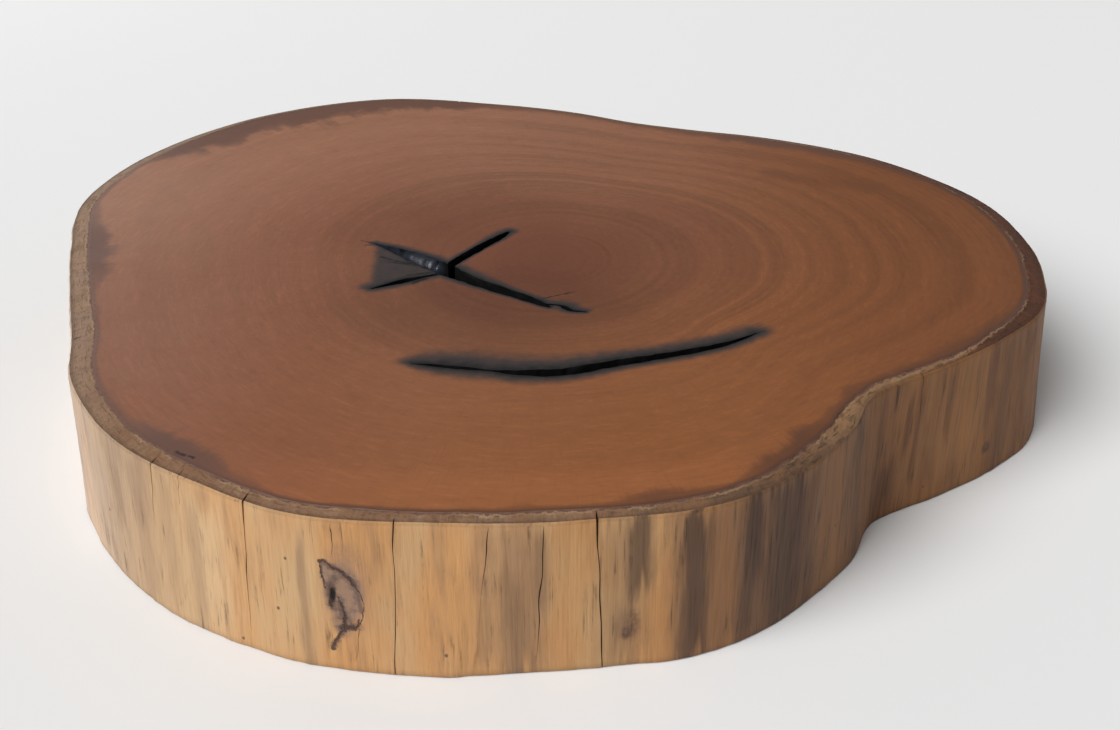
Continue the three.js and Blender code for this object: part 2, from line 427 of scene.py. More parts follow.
class Side:
    """Columns and rows of the rim and the side, with the drying checks between them."""

    RIM_SHARES = (0, 0.05, 0.2, 0.36, 0.52, 0.68, 0.84, 1)
    CORNER_TURNS = (24, 46, 68, 90)
    ARRIS = 1.4 * MM
    LIP_COLUMNS = (-2.6, -1, 0, 1, 2.6)

    def __init__(self, outline, sizes):
        self.outline = outline
        self.sizes = sizes
        self.place_columns()
        self.place_rows()
        self.place_points()

    def place_columns(self):
        """Even columns, closer at the branch knot, with five at each check: far, lip, root, lip, far."""
        length = self.outline.length
        fine = np.arange(0, length, 0.2 * MM)
        branch = self.outline.girth_of(BRANCH_KNOT.bearing)
        density = 1 + 0.9 * np.exp(-(((fine - branch) / 0.026) ** 4))
        count = round(density.sum() * 0.2 * MM / self.sizes.column_step)
        runs = np.cumsum(density)
        runs = (runs - runs[0]) / (runs[-1] - runs[0] + density[0])
        base = np.interp(np.arange(count) / count, runs, fine)
        self.check_girths = [float(self.outline.girth_of(c.bearing)) for c in DRYING_CHECKS]
        clear = self.LIP_COLUMNS[-1] * MM + 0.6 * MM
        kept = [g for g in base if all(abs(g - c) > clear for c in self.check_girths)]
        columns = [(g, -1, 0) for g in kept]
        for number, girth in enumerate(self.check_girths):
            columns += [(girth + lip * MM, number, lip) for lip in self.LIP_COLUMNS]
        columns.sort()
        self.girths = np.array([c[0] for c in columns])
        self.owners = np.array([c[1] for c in columns])
        self.lips = np.array([c[2] for c in columns], float)

    def place_rows(self):
        """For each row: its share of the way across the rim, its turn round the corner, and its height."""
        corner = self.sizes.rim_corner
        side_top = TOP - self.sizes.rim_drop - corner
        side_rows = round((side_top - self.ARRIS) / self.sizes.row_step)
        rows = [(share, 0, 0, "rim") for share in self.RIM_SHARES]
        rows += [(1, math.radians(turn), 0, "corner") for turn in self.CORNER_TURNS]
        rows += [(1, 0, height, "side") for height in np.linspace(side_top, self.ARRIS, side_rows + 1)[1:]]
        rows += [(1, 0, 0.35 * self.ARRIS, "arris"), (1, 0, 0, "foot")]
        self.rows = rows

    def check_profile(self, check, heights):
        """A check's opening at some heights: widest where it starts, wavering, closed past its ends."""
        span = max(check.head - check.foot, 1e-6)
        along = np.clip((check.head - heights) / span, 0, 1)
        waver = lattice_noise(heights * 0, along, 1, 9, int(check.bearing * 10))
        head_fade = 1 if check.head >= TOP else smooth_step(0, 0.12, along)
        foot_fade = 1 if check.foot < 0 else 1 - smooth_step(0.45, 1, along)
        gape = 0.6 + 0.8 * np.exp(-along / 0.10)
        return check.opening * gape * (1 + 0.3 * waver) * head_fade * foot_fade

    def check_wander(self, check, heights):
        """How far round the trunk a check has wandered at some heights."""
        along = (check.head - heights) / max(check.head - check.foot, 1e-6)
        waver = lattice_noise(heights * 0, np.clip(along, 0, 1), 1, 6, int(check.bearing * 10) + 1)
        return check.lean * along + 0.9 * MM * waver

    def place_points(self):
        """Every point, row by row, with what the materials need to know there."""
        sizes, outline = self.sizes, self.outline
        bearings = outline.bearing_of(self.girths)
        turns = self.girths / outline.length
        rim_width = by_bearing(RIM_WIDTHS, bearings)
        blur = np.linspace(-FLARE_BLUR, FLARE_BLUR, 5)
        flare = sum(by_bearing(FLARE, bearings + turn) for turn in blur) / len(blur)
        torn = np.exp(-(((bearings - TORN_RIM) / TORN_RIM_SPREAD) ** 2))
        rim_width = rim_width + 0.8 * MM * lattice_noise(turns, turns * 0, 110, 1, 11)
        rim_width += (0.2 + 0.7 * torn) * MM * lattice_noise(turns, turns * 0, 420, 1, 12)
        points, checks, insets, girths = [], [], [], []
        for number, (share, turn, height, kind) in enumerate(self.rows):
            if kind == "rim":
                inset = sizes.rim_corner + (rim_width - sizes.rim_corner) * (1 - share)
                fall = sizes.rim_drop * share**1.5 + (0.35 * MM if share > 0 else 0)
                z = np.full(len(turns), TOP - fall)
                rough = 0.18 * MM + 0.8 * MM * torn
                dents = lattice_noise(turns, np.full(len(turns), share), 640, 5, 21)
                dents += 0.7 * lattice_noise(turns, np.full(len(turns), share), 210, 3, 22)
                z -= rough * (0.5 + 0.5 * dents) * (share > 0)
                outward = np.zeros(len(turns))
            elif kind == "corner":
                inset = np.full(len(turns), sizes.rim_corner * (1 - math.sin(turn)))
                z = np.full(len(turns), TOP - sizes.rim_drop - sizes.rim_corner * (1 - math.cos(turn)))
                outward = self.relief(turns, TOP) * math.sin(turn)
            elif kind == "side":
                inset = np.zeros(len(turns))
                z = np.full(len(turns), height)
                outward = self.relief(turns, height)
            elif kind == "arris":
                inset = np.full(len(turns), 0.35 * self.ARRIS)
                z = np.full(len(turns), height)
                outward = self.relief(turns, height)
            else:
                inset = np.full(len(turns), self.ARRIS)
                z = np.zeros(len(turns))
                outward = self.relief(turns, 0)
            girth = self.girths.copy()
            groove = np.zeros(len(turns))
            dark = np.zeros(len(turns))
            for index, (check, centre) in enumerate(zip(DRYING_CHECKS, self.check_girths)):
                gap = self.girths - centre
                gap = (gap + outline.length / 2) % outline.length - outline.length / 2
                low = float(z.mean())
                wander = float(self.check_wander(check, np.array(min(low, check.head))))
                girth += wander * np.exp(-((gap / 0.022) ** 2))
                opening = float(self.check_profile(check, np.array(low)))
                if kind == "rim":
                    opening *= float(smooth_step(1 - check.over_rim, 1.001, np.array(share)))
                    opening *= check.over_rim > 0
                mine = self.owners == index
                lip = mine & (np.abs(self.lips) == 1)
                root = mine & (self.lips == 0)
                girth[lip] += self.lips[lip] * (max(opening, 0.3 * MM) / 2 - MM)
                groove[root] = opening * sizes.check_depth
                # dark is painted shade inside a check's groove: full at its root, faint on its lips; it is
                # kept as the check attribute
                dark[root] = min(1, opening / (0.5 * MM))
                dark[lip] = min(0.25, opening / (4 * MM))
            place, normal = outline.at(girth)
            if kind in ("rim", "foot"):
                z = z - groove * 0.5 * (kind == "rim")
                outward = outward - groove * (kind == "foot")
            else:
                outward = outward - groove
            outward = outward + flare * (1 - np.minimum(z / TOP, 1)) ** 1.2
            flat = place + normal * (outward - inset)[:, None]
            if kind == "foot":
                flat = untangle(flat, flat + normal * groove[:, None])
            points.append(np.c_[flat, z])
            checks.append(dark)
            girths.append(girth)
            gone = rim_width - inset if kind in ("rim", "corner") else rim_width + (TOP - z)
            insets.append(-gone)
        self.points = np.array(points)
        self.checks = np.array(checks)
        self.insets = np.array(insets)
        self.girth_grid = np.array(girths)

    def relief(self, turns, height):
        """How far the side stands out from the solid's outline: never past it, bar the knots' swelling."""
        depth = np.full(len(turns), 1 - height / TOP)
        flutes = lattice_noise(turns, depth, 44, 1, 31) + 0.5 * lattice_noise(turns, depth, 95, 1, 32)
        shaved = lattice_noise(turns, depth, 250, 2, 33) + 0.6 * lattice_noise(turns, depth, 520, 4, 34)
        dents = lattice_noise(turns, depth, 300, 16, 35)
        out = -self.sizes.flute_depth * (1 - flutes) - 0.28 * MM * shaved - 0.15 * MM * dents
        girths = turns * self.outline.length
        for knot in KNOTS:
            across = (girths - self.outline.girth_of(knot.bearing)) / knot.half_width
            up = (height - knot.height) / knot.half_height
            out += knot.bulge * np.exp(-(across**2 + up**2) / 1.6)
        return out + self.branch_scar(girths, height)

    def branch_scar(self, girths, height):
        """The branch knot's sunken eye, its torn hollow and the tail below it."""
        across = (girths - self.outline.girth_of(BRANCH_KNOT.bearing)) / MM
        up = (height - BRANCH_KNOT.height) / MM
        eye = np.exp(-(((across + 8.5) / 3.0) ** 2) - ((up - 6) / 8) ** 2)
        hollow = np.exp(-(((across + 1) / 9) ** 2) - ((up - 2) / 26) ** 2)
        tail = np.exp(-(((across + 7 - 0.12 * up) / 3.0) ** 2) - ((up + 38) / 12) ** 2)
        return -3.6 * MM * eye - 1.5 * MM * hollow - 1.2 * MM * tail


# ---------------------------------------------------------------------------------------------------------
# The cracks in the top


class Cracks:
    """Splintery outlines of the cracks on the top, and how their walls close in below."""

    STEP = 2.2 * MM

    def __init__(self):
        self.centres, self.loops = [], []
        for number, stations in enumerate(CRACKS):
            line = crack_line(stations, self.STEP)
            centre, half = line[:, :2], np.maximum(line[:, 2] / 2, 0.25 * MM)
            tangent = np.gradient(centre, axis=0)
            tangent /= np.linalg.norm(tangent, axis=1)[:, None]
            normal = np.c_[-tangent[:, 1], tangent[:, 0]]
            along = np.linspace(0, 0.999, len(centre))
            sides = []
            for seed in (1, 2):
                coarse = lattice_noise(along, along * 0, max(3, len(centre) // 5), 1, 10 * number + seed)
                fine = lattice_noise(along, along * 0, max(4, len(centre) // 2), 1, 90 + 10 * number + seed)
                sides.append(half * (1 + 0.13 * coarse + 0.09 * fine))
            left = centre + normal * sides[0][:, None]
            right = centre - normal * sides[1][:, None]
            self.centres.append(centre)
            self.loops.append(np.vstack([right, left[::-1]]))

    def nearest_centre(self, points):
        """The nearest point on any crack's centre line to each point."""
        spots = np.vstack(self.centres)
        gaps = np.linalg.norm(points[:, None] - spots[None], axis=2)
        return spots[np.argmin(gaps, axis=1)]


def jittered_grid(step, seed):
    """A loose triangular grid of points over the slice's box."""
    rng = np.random.default_rng(seed)
    columns = np.arange(LOW.x, HIGH.x, step)
    rows = np.arange(LOW.y, HIGH.y, step * math.sqrt(3) / 2)
    grid = np.array([(x + step / 2 * (k % 2), y) for k, y in enumerate(rows) for x in columns])
    return grid + rng.uniform(-0.18, 0.18, grid.shape) * step


def fill_points(rim, cracks, step):
    """Points to fill a face with: close together beside its cracks and its rim, and wider elsewhere."""
    starts = np.vstack(cracks)
    ends = np.vstack([np.roll(loop, -1, axis=0) for loop in cracks])
    chosen = []
    for spacing, near, far in ((step / 4, 0.12 * step, 0.8 * step), (step / 2, 0.8 * step, 2.8 * step),
                               (step, 2.8 * step, np.inf)):
        grid = jittered_grid(spacing, round(spacing / MM * 10))
        grid = grid[inside_loop(grid, rim)]
        gap = gap_to_edges(grid, starts, ends)
        from_rim = gap_to_loop(grid, rim[::4])
        gap = np.minimum(gap, np.maximum(from_rim - 0.3 * step, 0.13 * step))
        wide_enough = from_rim > 0.6 * spacing
        chosen.append(grid[(gap >= near) & (gap < far) & wide_enough])
    return np.vstack(chosen)


def triangulate(points, loops):
    """Triangles over points, which start with some closed loops, and are kept inside the first loop."""
    edges, start = [], 0
    for loop in loops:
        numbers = list(range(start, start + len(loop)))
        edges += zip(numbers, numbers[1:] + numbers[:1])
        start += len(loop)
    places, _, triangles, sources = delaunay_2d_cdt([Vector(p) for p in points], edges, [], 1, 1e-7)[:4]
    return np.array([p[:] for p in places]), np.array(triangles), [s[0] if s else -1 for s in sources]


def chain_loops(pairs):
    """Loops from directed edges, each as a list of points in order."""
    after = dict(pairs)
    loops = []
    while after:
        start, point = next(iter(after.items()))
        loop = [start]
        del after[start]
        while point != start:
            loop.append(point)
            point = after.pop(point)
        loops.append(loop)
    return loops


class Faces:
    """Gathers the mesh: points, faces, the material of each face, and the values at each point."""

    # check holds the painted shade of the drying checks' grooves
    VALUES = ("inset", "reach", "stain_width", "soot", "check", "weathering")

    def __init__(self):
        self.points, self.polygons, self.slots, self.corner_girths = [], [], [], []
        self.values = {name: [] for name in self.VALUES}

    def add_points(self, points, **values):
        """Adds points and returns the number of the first."""
        first = len(self.points)
        self.points += [tuple(p) for p in points]
        for name in self.VALUES:
            given = np.broadcast_to(values.get(name, 0.0), (len(points),))
            self.values[name] += list(map(float, given))
        return first

    def add_face(self, corners, slot, girths=None):
        """Adds one face."""
        self.polygons.append(tuple(int(c) for c in corners))
        self.slots.append(slot)
        self.corner_girths += list(girths) if girths is not None else [0.0] * len(corners)


TOP_SLOT, RIM_SLOT, SIDE_SLOT, UNDER_SLOT, CRACK_SLOT = range(5)

# Where the crack walls have points: shares of the way down
CRACK_LEVELS = (0, 0.012, 0.03, 0.05, 0.075, 0.10, 0.14, 0.2, 0.28, 0.38, 0.5, 0.62, 0.74, 0.86, 0.95, 1)

# The eastern end of the slope in the heart check's west arm
SLOPE_EAST = -0.088


def reach_from_pith(outline, points):
    """How far the outline lies from the pith in each point's direction."""
    pith = np.array(PITH)
    rim = outline.points - pith
    bearings = bearings_of(rim)
    order = np.argsort(bearings)
    reaches = np.linalg.norm(rim, axis=1)[order]
    return np.interp(bearings_of(points - pith), bearings[order], reaches, period=360)


def face_values(outline, rim, points):
    """What the materials need to know at points on the top or the underside."""
    return {
        "inset": gap_to_loop(points, rim[::3]),
        "reach": reach_from_pith(outline, points),
        "stain_width": by_bearing(STAIN_WIDTHS, bearings_of(points)),
        "soot": soot_at(points),
    }


def add_side(faces, outline, side):
    """Adds the rim and the side, and returns the points of their first and last rows."""
    row_count, column_count = side.points.shape[:2]
    flat = side.points.reshape(-1, 3)
    bearings = bearings_of(flat)
    first = faces.add_points(
        flat,
        inset=side.insets.ravel(),
        reach=reach_from_pith(outline, flat[:, :2]),
        stain_width=by_bearing(STAIN_WIDTHS, bearings),
        check=side.checks.ravel(),
        weathering=by_bearing(WEATHERING, bearings),
    )
    rim_rows = sum(row[3] == "rim" for row in side.rows)
    for row in range(row_count - 1):
        slot = RIM_SLOT if row < rim_rows else SIDE_SLOT
        for column in range(column_count):
            beyond = (column + 1) % column_count
            lap = outline.length if beyond == 0 else 0
            corners = (
                first + row * column_count + beyond,
                first + row * column_count + column,
                first + (row + 1) * column_count + column,
                first + (row + 1) * column_count + beyond,
            )
            girths = (
                side.girth_grid[row, beyond] + lap,
                side.girth_grid[row, column],
                side.girth_grid[row + 1, column],
                side.girth_grid[row + 1, beyond] + lap,
            )
            faces.add_face(corners, slot, girths)
    rim = [first + column for column in range(column_count)]
    foot = [first + (row_count - 1) * column_count + column for column in range(column_count)]
    return rim, foot


def add_top(faces, outline, cracks, rim, sizes):
    """Adds the planed top round its cracks, and returns the cracks' loops of points."""
    rim_flat = np.array([faces.points[p][:2] for p in rim])
    filling = fill_points(rim_flat, cracks.loops, sizes.face_step)
    filling = filling[~inside_any(filling, cracks.loops)]
    given = np.vstack([rim_flat, *cracks.loops, filling])
    places, triangles, sources = triangulate(given, [rim, *cracks.loops])
    triangles = triangles[~inside_any(places[triangles].mean(axis=1), cracks.loops)]
    on_rim = np.array([0 <= source < len(rim) for source in sources])
    fresh = np.nonzero(~on_rim)[0]
    ripple = top_ripple(places[fresh])
    first = faces.add_points(
        np.c_[places[fresh], TOP + ripple], **face_values(outline, rim_flat, places[fresh]))
    number = np.zeros(len(places), int)
    number[fresh] = first + np.arange(len(fresh))
    for place in np.nonzero(on_rim)[0]:
        number[place] = rim[sources[place]]
    directed = set()
    for triangle in triangles:
        corners = number[triangle]
        faces.add_face(corners, TOP_SLOT)
        directed.update(zip(corners, np.roll(corners, -1)))
    rim_set = set(rim)
    open_edges = (edge for edge in directed if edge[::-1] not in directed)
    return chain_loops(sorted(edge for edge in open_edges if not rim_set.issuperset(edge)))


def top_ripple(places):
    """The planed top's faint unevenness, always below the solid's top."""
    u = (places[:, 0] - LOW.x) / (HIGH.x - LOW.x) * 0.999
    v = (places[:, 1] - LOW.y) / (HIGH.y - LOW.y)
    return -0.12 * MM * (1 - lattice_noise(u, v, 9, 9, 41)) * smooth_step(0, 0.05, np.minimum(v, 1 - v))


def crossing_points(loop):
    """Numbers of the points whose edges cross other edges of a closed loop."""
    start, end = loop, np.roll(loop, -1, axis=0)

    def side(a, b, c):
        ab, ac = b - a, c - a
        return np.sign(ab[..., 0] * ac[..., 1] - ab[..., 1] * ac[..., 0])

    a, b, c, d = start[:, None], end[:, None], start[None], end[None]
    crosses = (side(a, b, c) * side(a, b, d) <= 0) & (side(c, d, a) * side(c, d, b) <= 0)
    count = len(loop)
    apart = (np.arange(count)[:, None] - np.arange(count)[None]) % count
    crosses &= (apart > 1) & (apart < count - 1)
    return np.nonzero(crosses.any(axis=1))[0]


def untangle(loop, safe):
    """The loop with its tangled points moved back towards their places in a loop that has no crossings."""
    loop = loop.copy()
    count = len(loop)
    pull = 0.5
    for attempt in range(24):
        tangled = crossing_points(loop)
        if not len(tangled):
            return loop
        reach = 2 + attempt // 2
        near = np.unique((tangled[:, None] + np.arange(-reach, reach + 2)[None]) % count)
        loop[near] += (safe[near] - loop[near]) * pull
        pull = 0.5 if attempt < 12 else 1
    return safe.copy()


def add_crack_walls(faces, cracks, loops, narrowing):
    """Adds the walls of each crack down to the underside, and returns their lowest loops."""
    lowest = []
    for loop_number, loop in enumerate(loops):
        top = np.array([faces.points[p][:2] for p in loop])
        top_heights = np.array([faces.points[p][2] for p in loop])
        centre = cracks.nearest_centre(top)
        arm = top - centre
        along = np.linspace(0, 0.999, len(loop))
        lean = sloping_wall(top, arm)
        above = list(loop)
        place = top
        for level in CRACK_LEVELS[1:]:
            grain = lattice_noise(along, along * 0 + level, max(8, len(loop) // 3), 3, 51 + loop_number)
            ledges = lattice_noise(along, along * 0 + level, max(8, len(loop) // 9), 7, 61 + loop_number)
            share = 1 - narrowing * level**0.8
            share = share * (1 + (0.16 * grain + 0.12 * ledges) * (1 - 0.75 * lean))
            share = share * (1 - lean * smooth_step(0, 0.11, level) * 0.8)
            place = untangle(centre + arm * np.clip(share, 0.12, 1)[:, None], place)
            heights = top_heights * (1 - level)
            first = faces.add_points(np.c_[place, heights], soot=1.0)
            below = [first + k for k in range(len(loop))]
            for k in range(len(loop)):
                nxt = (k + 1) % len(loop)
                faces.add_face((above[nxt], above[k], below[k], below[nxt]), CRACK_SLOT)
            above = below
        lowest.append(above)
    return lowest


def sloping_wall(top, arm):
    """1 on the far wall of the heart check's west arm, which is torn to a slope, and 0 elsewhere."""
    west = smooth_step(SLOPE_EAST, SLOPE_EAST - 0.012, top[:, 0]) * smooth_step(-0.16, -0.15, top[:, 0])
    far = (arm[:, 1] > 0) & (top[:, 1] > -0.06)
    return west * far


def add_underside(faces, outline, foot, crack_feet, sizes):
    """Adds the sawn underside round the cracks' feet."""
    foot_flat = np.array([faces.points[p][:2] for p in foot])
    crack_flats = [np.array([faces.points[p][:2] for p in loop]) for loop in crack_feet]
    filling = fill_points(foot_flat, crack_flats, 2 * sizes.face_step)
    filling = filling[~inside_any(filling, crack_flats)]
    given = np.vstack([foot_flat, *crack_flats, filling])
    known = [*foot, *[p for loop in crack_feet for p in loop]]
    places, triangles, sources = triangulate(given, [foot, *crack_feet])
    hole = inside_any(places[triangles].mean(axis=1), crack_flats)
    number = np.zeros(len(places), int)
    fresh = [k for k, source in enumerate(sources) if source < 0 or source >= len(known)]
    values = face_values(outline, foot_flat, places[fresh])
    first = faces.add_points(np.c_[places[fresh], np.zeros(len(fresh))], **values)
    number[fresh] = first + np.arange(len(fresh))
    for place, source in enumerate(sources):
        if 0 <= source < len(known):
            number[place] = known[source]
    for triangle in triangles[~hole]:
        faces.add_face(number[triangle][::-1], UNDER_SLOT)


def build_mesh(name, faces):
    """The gathered faces as a closed mesh with its values as attributes."""
    mesh = bpy.data.meshes.new(name)
    mesh.from_pydata(faces.points, [], faces.polygons)
    mesh.polygons.foreach_set("material_index", faces.slots)
    mesh.polygons.foreach_set("use_smooth", [True] * len(faces.polygons))
    for value_name, values in faces.values.items():
        layer = mesh.attributes.new(value_name, "FLOAT", "POINT")
        layer.data.foreach_set("value", values)
    layer = mesh.attributes.new("girth", "FLOAT", "CORNER")
    layer.data.foreach_set("value", faces.corner_girths)
    mesh.set_sharp_from_angle(angle=math.radians(38))
    mesh.update()
    check_closed(mesh)
    return mesh


def check_closed(mesh):
    """Stops unless every edge has a face on each side, running opposite ways."""
    directed = set()
    for polygon in mesh.polygons:
        corners = list(polygon.vertices)
        for a, b in zip(corners, corners[1:] + corners[:1]):
            if (a, b) in directed:
                raise RuntimeError(f"two faces run the same way along edge {a}-{b}")
            directed.add((a, b))
    open_edges = sum((b, a) not in directed for a, b in directed)
    if open_edges:
        raise RuntimeError(f"the slice's mesh has {open_edges} open edges")


# ---------------------------------------------------------------------------------------------------------
# Shader nodes


class Bench:
    """A node tree, with short ways to add and join its nodes."""

    def __init__(self, tree):
        self.tree = tree

    def feed(self, socket, value):
        """Joins a socket to another, or sets its value."""
        if isinstance(value, bpy.types.NodeSocket):
            self.tree.links.new(value, socket)
        elif socket.type == "RGBA":
            socket.default_value = (*value, 1)
        else:
            socket.default_value = value

    def node(self, kind, inputs=(), **settings):
        """Adds a node with its settings, and feeds its inputs by name or number."""
        made = self.tree.nodes.new(f"ShaderNode{kind}")
        for name, value in settings.items():
            setattr(made, name, value)
        for key, value in dict(inputs).items():
            self.feed(made.inputs[key], value)
        return made

    def math(self, operation, *values, clamp=False):
        """A number worked out from others."""
        made = self.node("Math", enumerate(values), operation=operation, use_clamp=clamp)
        return made.outputs[0]

    def plus(self, one, other):
        """The sum of two numbers."""
        return self.math("ADD", one, other)

    def minus(self, one, other):
        """One number less another."""
        return self.math("SUBTRACT", one, other)

    def times(self, one, other):
        """The product of two numbers."""
        return self.math("MULTIPLY", one, other)

    def over(self, one, other):
        """One number divided by another."""
        return self.math("DIVIDE", one, other)

    def most(self, one, other):
        """The greater of two numbers."""
        return self.math("MAXIMUM", one, other)

    def vector(self, operation, *values):
        """A vector, or for LENGTH and DOT_PRODUCT a number, worked out from others."""
        made = self.node("VectorMath", enumerate(values), operation=operation)
        return made.outputs["Value" if operation in ("LENGTH", "DOT_PRODUCT") else "Vector"]

    def ramp(self, value, low, high, at_low=0.0, at_high=1.0):
        """A smooth slope from at_low, where value is low, to at_high, where it is high."""
        limits = {"Value": value, "From Min": low, "From Max": high, "To Min": at_low, "To Max": at_high}
        return self.node("MapRange", limits, interpolation_type="SMOOTHSTEP").outputs[0]

    def rise(self, value, low, high, most=1.0):
        """A smooth slope from 0, where value is low, up to most, where it is high."""
        return self.ramp(value, low, high, 0.0, most)

    def fade(self, value, low, high, most=1.0):
        """A smooth slope from most, where value is low, down to 0, where it is high."""
        return self.ramp(value, low, high, most, 0.0)

    def spread(self, noise, at_low, at_high):
        """Noise, over the range where it mostly lies, as a number between two others."""
        return self.ramp(noise, 0.3, 0.7, at_low, at_high)

    def mix(self, share, under, over, blend="MIX"):
        """One colour laid over another."""
        made = self.node("Mix", data_type="RGBA", blend_type=blend)
        for place, value in ((0, share), (6, under), (7, over)):
            self.feed(made.inputs[place], value)
        return made.outputs[2]

    def tone(self, share, colour, factor):
        """A colour multiplied, where share is 1, by a number or by a red, green and blue."""
        factors = factor if isinstance(factor, tuple) else (factor,) * 3
        return self.mix(share, colour, self.mix(1.0, colour, factors, "MULTIPLY"))

    def mix_numbers(self, share, under, over):
        """A number between two others."""
        return self.node("Mix", {0: share, 2: under, 3: over}).outputs[0]

    def noise(self, place, scale, detail=2.0, roughness=0.5, distortion=0.0):
        """Noise from 0 to 1, mostly near one half."""
        inputs = {"Vector": place, "Scale": scale, "Detail": detail, "Roughness": roughness,
                  "Distortion": distortion}
        return self.node("TexNoise", inputs).outputs[0]

    def line_noise(self, count, scale):
        """Noise from 0 to 1 along a single number."""
        inputs = {"W": count, "Scale": scale, "Detail": 2.0}
        return self.node("TexNoise", inputs, noise_dimensions="1D").outputs[0]

    def attribute(self, name):
        """A number kept in the mesh."""
        return self.node("Attribute", attribute_name=name).outputs["Fac"]

    def place(self):
        """Where a point is on the slice, in metres."""
        return self.node("TexCoord").outputs["Object"]

    def from_pith(self, place):
        """The flat way from the pith to a place."""
        return self.vector("MULTIPLY", self.vector("SUBTRACT", place, (*PITH, 0)), (1, 1, 0))

    def scaled(self, vector, factor):
        """A vector times a number."""
        return self.node("VectorMath", {0: vector, "Scale": factor}, operation="SCALE").outputs[0]

    def parts(self, vector):
        """The three numbers of a vector."""
        return self.node("SeparateXYZ", [(0, vector)]).outputs

    def group(self, group, **inputs):
        """Places an effect, and returns what it puts out."""
        made = self.tree.nodes.new("ShaderNodeGroup")
        made.node_tree = group
        for key, value in inputs.items():
            self.feed(made.inputs[key.replace("_", " ").title()], value)
        return made.outputs


def effect(name, inputs, outputs, build):
    """A shader node group. build takes its bench and inputs, and returns its outputs in order."""
    group = bpy.data.node_groups.new(name, "ShaderNodeTree")
    for title, kind, default in inputs:
        socket = group.interface.new_socket(title, in_out="INPUT", socket_type=f"NodeSocket{kind}")
        socket.default_value = default
    for title, kind in outputs:
        group.interface.new_socket(title, in_out="OUTPUT", socket_type=f"NodeSocket{kind}")
    start = group.nodes.new("NodeGroupInput")
    end = group.nodes.new("NodeGroupOutput")
    for number, value in enumerate(build(Bench(group), start.outputs)):
        group.links.new(value, end.inputs[number])
    return group


RING_COUNT = 58
MEAN_REACH = 0.47


def rings_effect():
    """Growth rings round the pith, which take the outline's shape towards the rim."""

    def build(bench, given):
        place = given["Place"]
        drift = bench.times(bench.minus(bench.noise(place, 5, 3), 0.5), given["Wander"])
        flat = bench.from_pith(place)
        radius = bench.plus(bench.vector("LENGTH", flat), drift)
        share = bench.over(radius, given["Reach"])
        follow = bench.ramp(share, 0.1, 0.95)
        rounder = bench.times(bench.minus(MEAN_REACH, given["Reach"]), bench.minus(1, follow))
        reach = bench.plus(given["Reach"], rounder)
        count = bench.times(bench.over(radius, reach), RING_COUNT)
        fine, broad = (bench.line_noise(count, scale) for scale in (1.1, 0.28))
        tooth = bench.math("FRACT", bench.plus(count, bench.times(fine, 1.4)))
        line = bench.ramp(tooth, 0.66, 0.98)
        faint = bench.ramp(bench.noise(place, 9, 2), 0.38, 0.66)
        return share, fine, broad, bench.times(line, faint)

    return effect(
        "Growth Rings",
        [("Place", "Vector", (0, 0, 0)), ("Reach", "Float", MEAN_REACH), ("Wander", "Float", 0.012)],
        [("Share", "Float"), ("Fine", "Float"), ("Broad", "Float"), ("Line", "Float")],
        build)


def rays_effect():
    """Short streaks that run out from the pith."""

    def build(bench, given):
        flat = bench.from_pith(given["Place"])
        radius = bench.vector("LENGTH", flat)
        way = bench.parts(bench.vector("NORMALIZE", flat))
        along = bench.times(radius, given["Length Scale"])
        around = [bench.times(way[k], given["Around Scale"]) for k in (0, 1)]
        spot = bench.node("CombineXYZ", enumerate((*around, along))).outputs[0]
        return (bench.noise(spot, 1, 3, 0.6),)

    return effect(
        "Rays",
        [("Place", "Vector", (0, 0, 0)), ("Around Scale", "Float", 150), ("Length Scale", "Float", 24)],
        [("Streak", "Float")],
        build)


def fibre_effect():
    """Fibres and stains that run up the trunk."""

    def build(bench, given):
        place = given["Place"]
        fine = bench.noise(bench.vector("MULTIPLY", place, (1, 1, 0.04)), 460, 3, 0.6)
        streak = bench.noise(bench.vector("MULTIPLY", place, (1, 1, 0.09)), 105, 3, 0.55, 0.3)
        broad = bench.noise(bench.vector("MULTIPLY", place, (1, 1, 0.3)), 17, 3, 0.55, 0.2)
        return fine, streak, broad

    return effect(
        "Fibres",
        [("Place", "Vector", (0, 0, 0))],
        [("Fine", "Float"), ("Streak", "Float"), ("Broad", "Float")],
        build)


def stroke_effect():
    """A soft dark stroke between two points."""

    def build(bench, given):
        run = bench.vector("SUBTRACT", given["End"], given["Start"])
        gone = bench.vector("SUBTRACT", given["Place"], given["Start"])
        along, whole = (bench.vector("DOT_PRODUCT", way, run) for way in (gone, run))
        share = bench.math("DIVIDE", along, whole, clamp=True)
        nearest = bench.scaled(run, share)
        gap = bench.vector("LENGTH", bench.vector("SUBTRACT", gone, nearest))
        ragged = bench.times(bench.minus(given["Grain"], 0.5), 3.2)
        far = bench.plus(bench.over(gap, given["Width"]), ragged)
        return (bench.fade(far, 0.1, 1.1),)

    return effect(
        "Stroke",
        [("Place", "Vector", (0, 0, 0)), ("Start", "Vector", (0, 0, 0)), ("End", "Vector", (0, 0, 1)),
         ("Width", "Float", 0.002), ("Grain", "Float", 0.5)],
        [("Mask", "Float")],
        build)


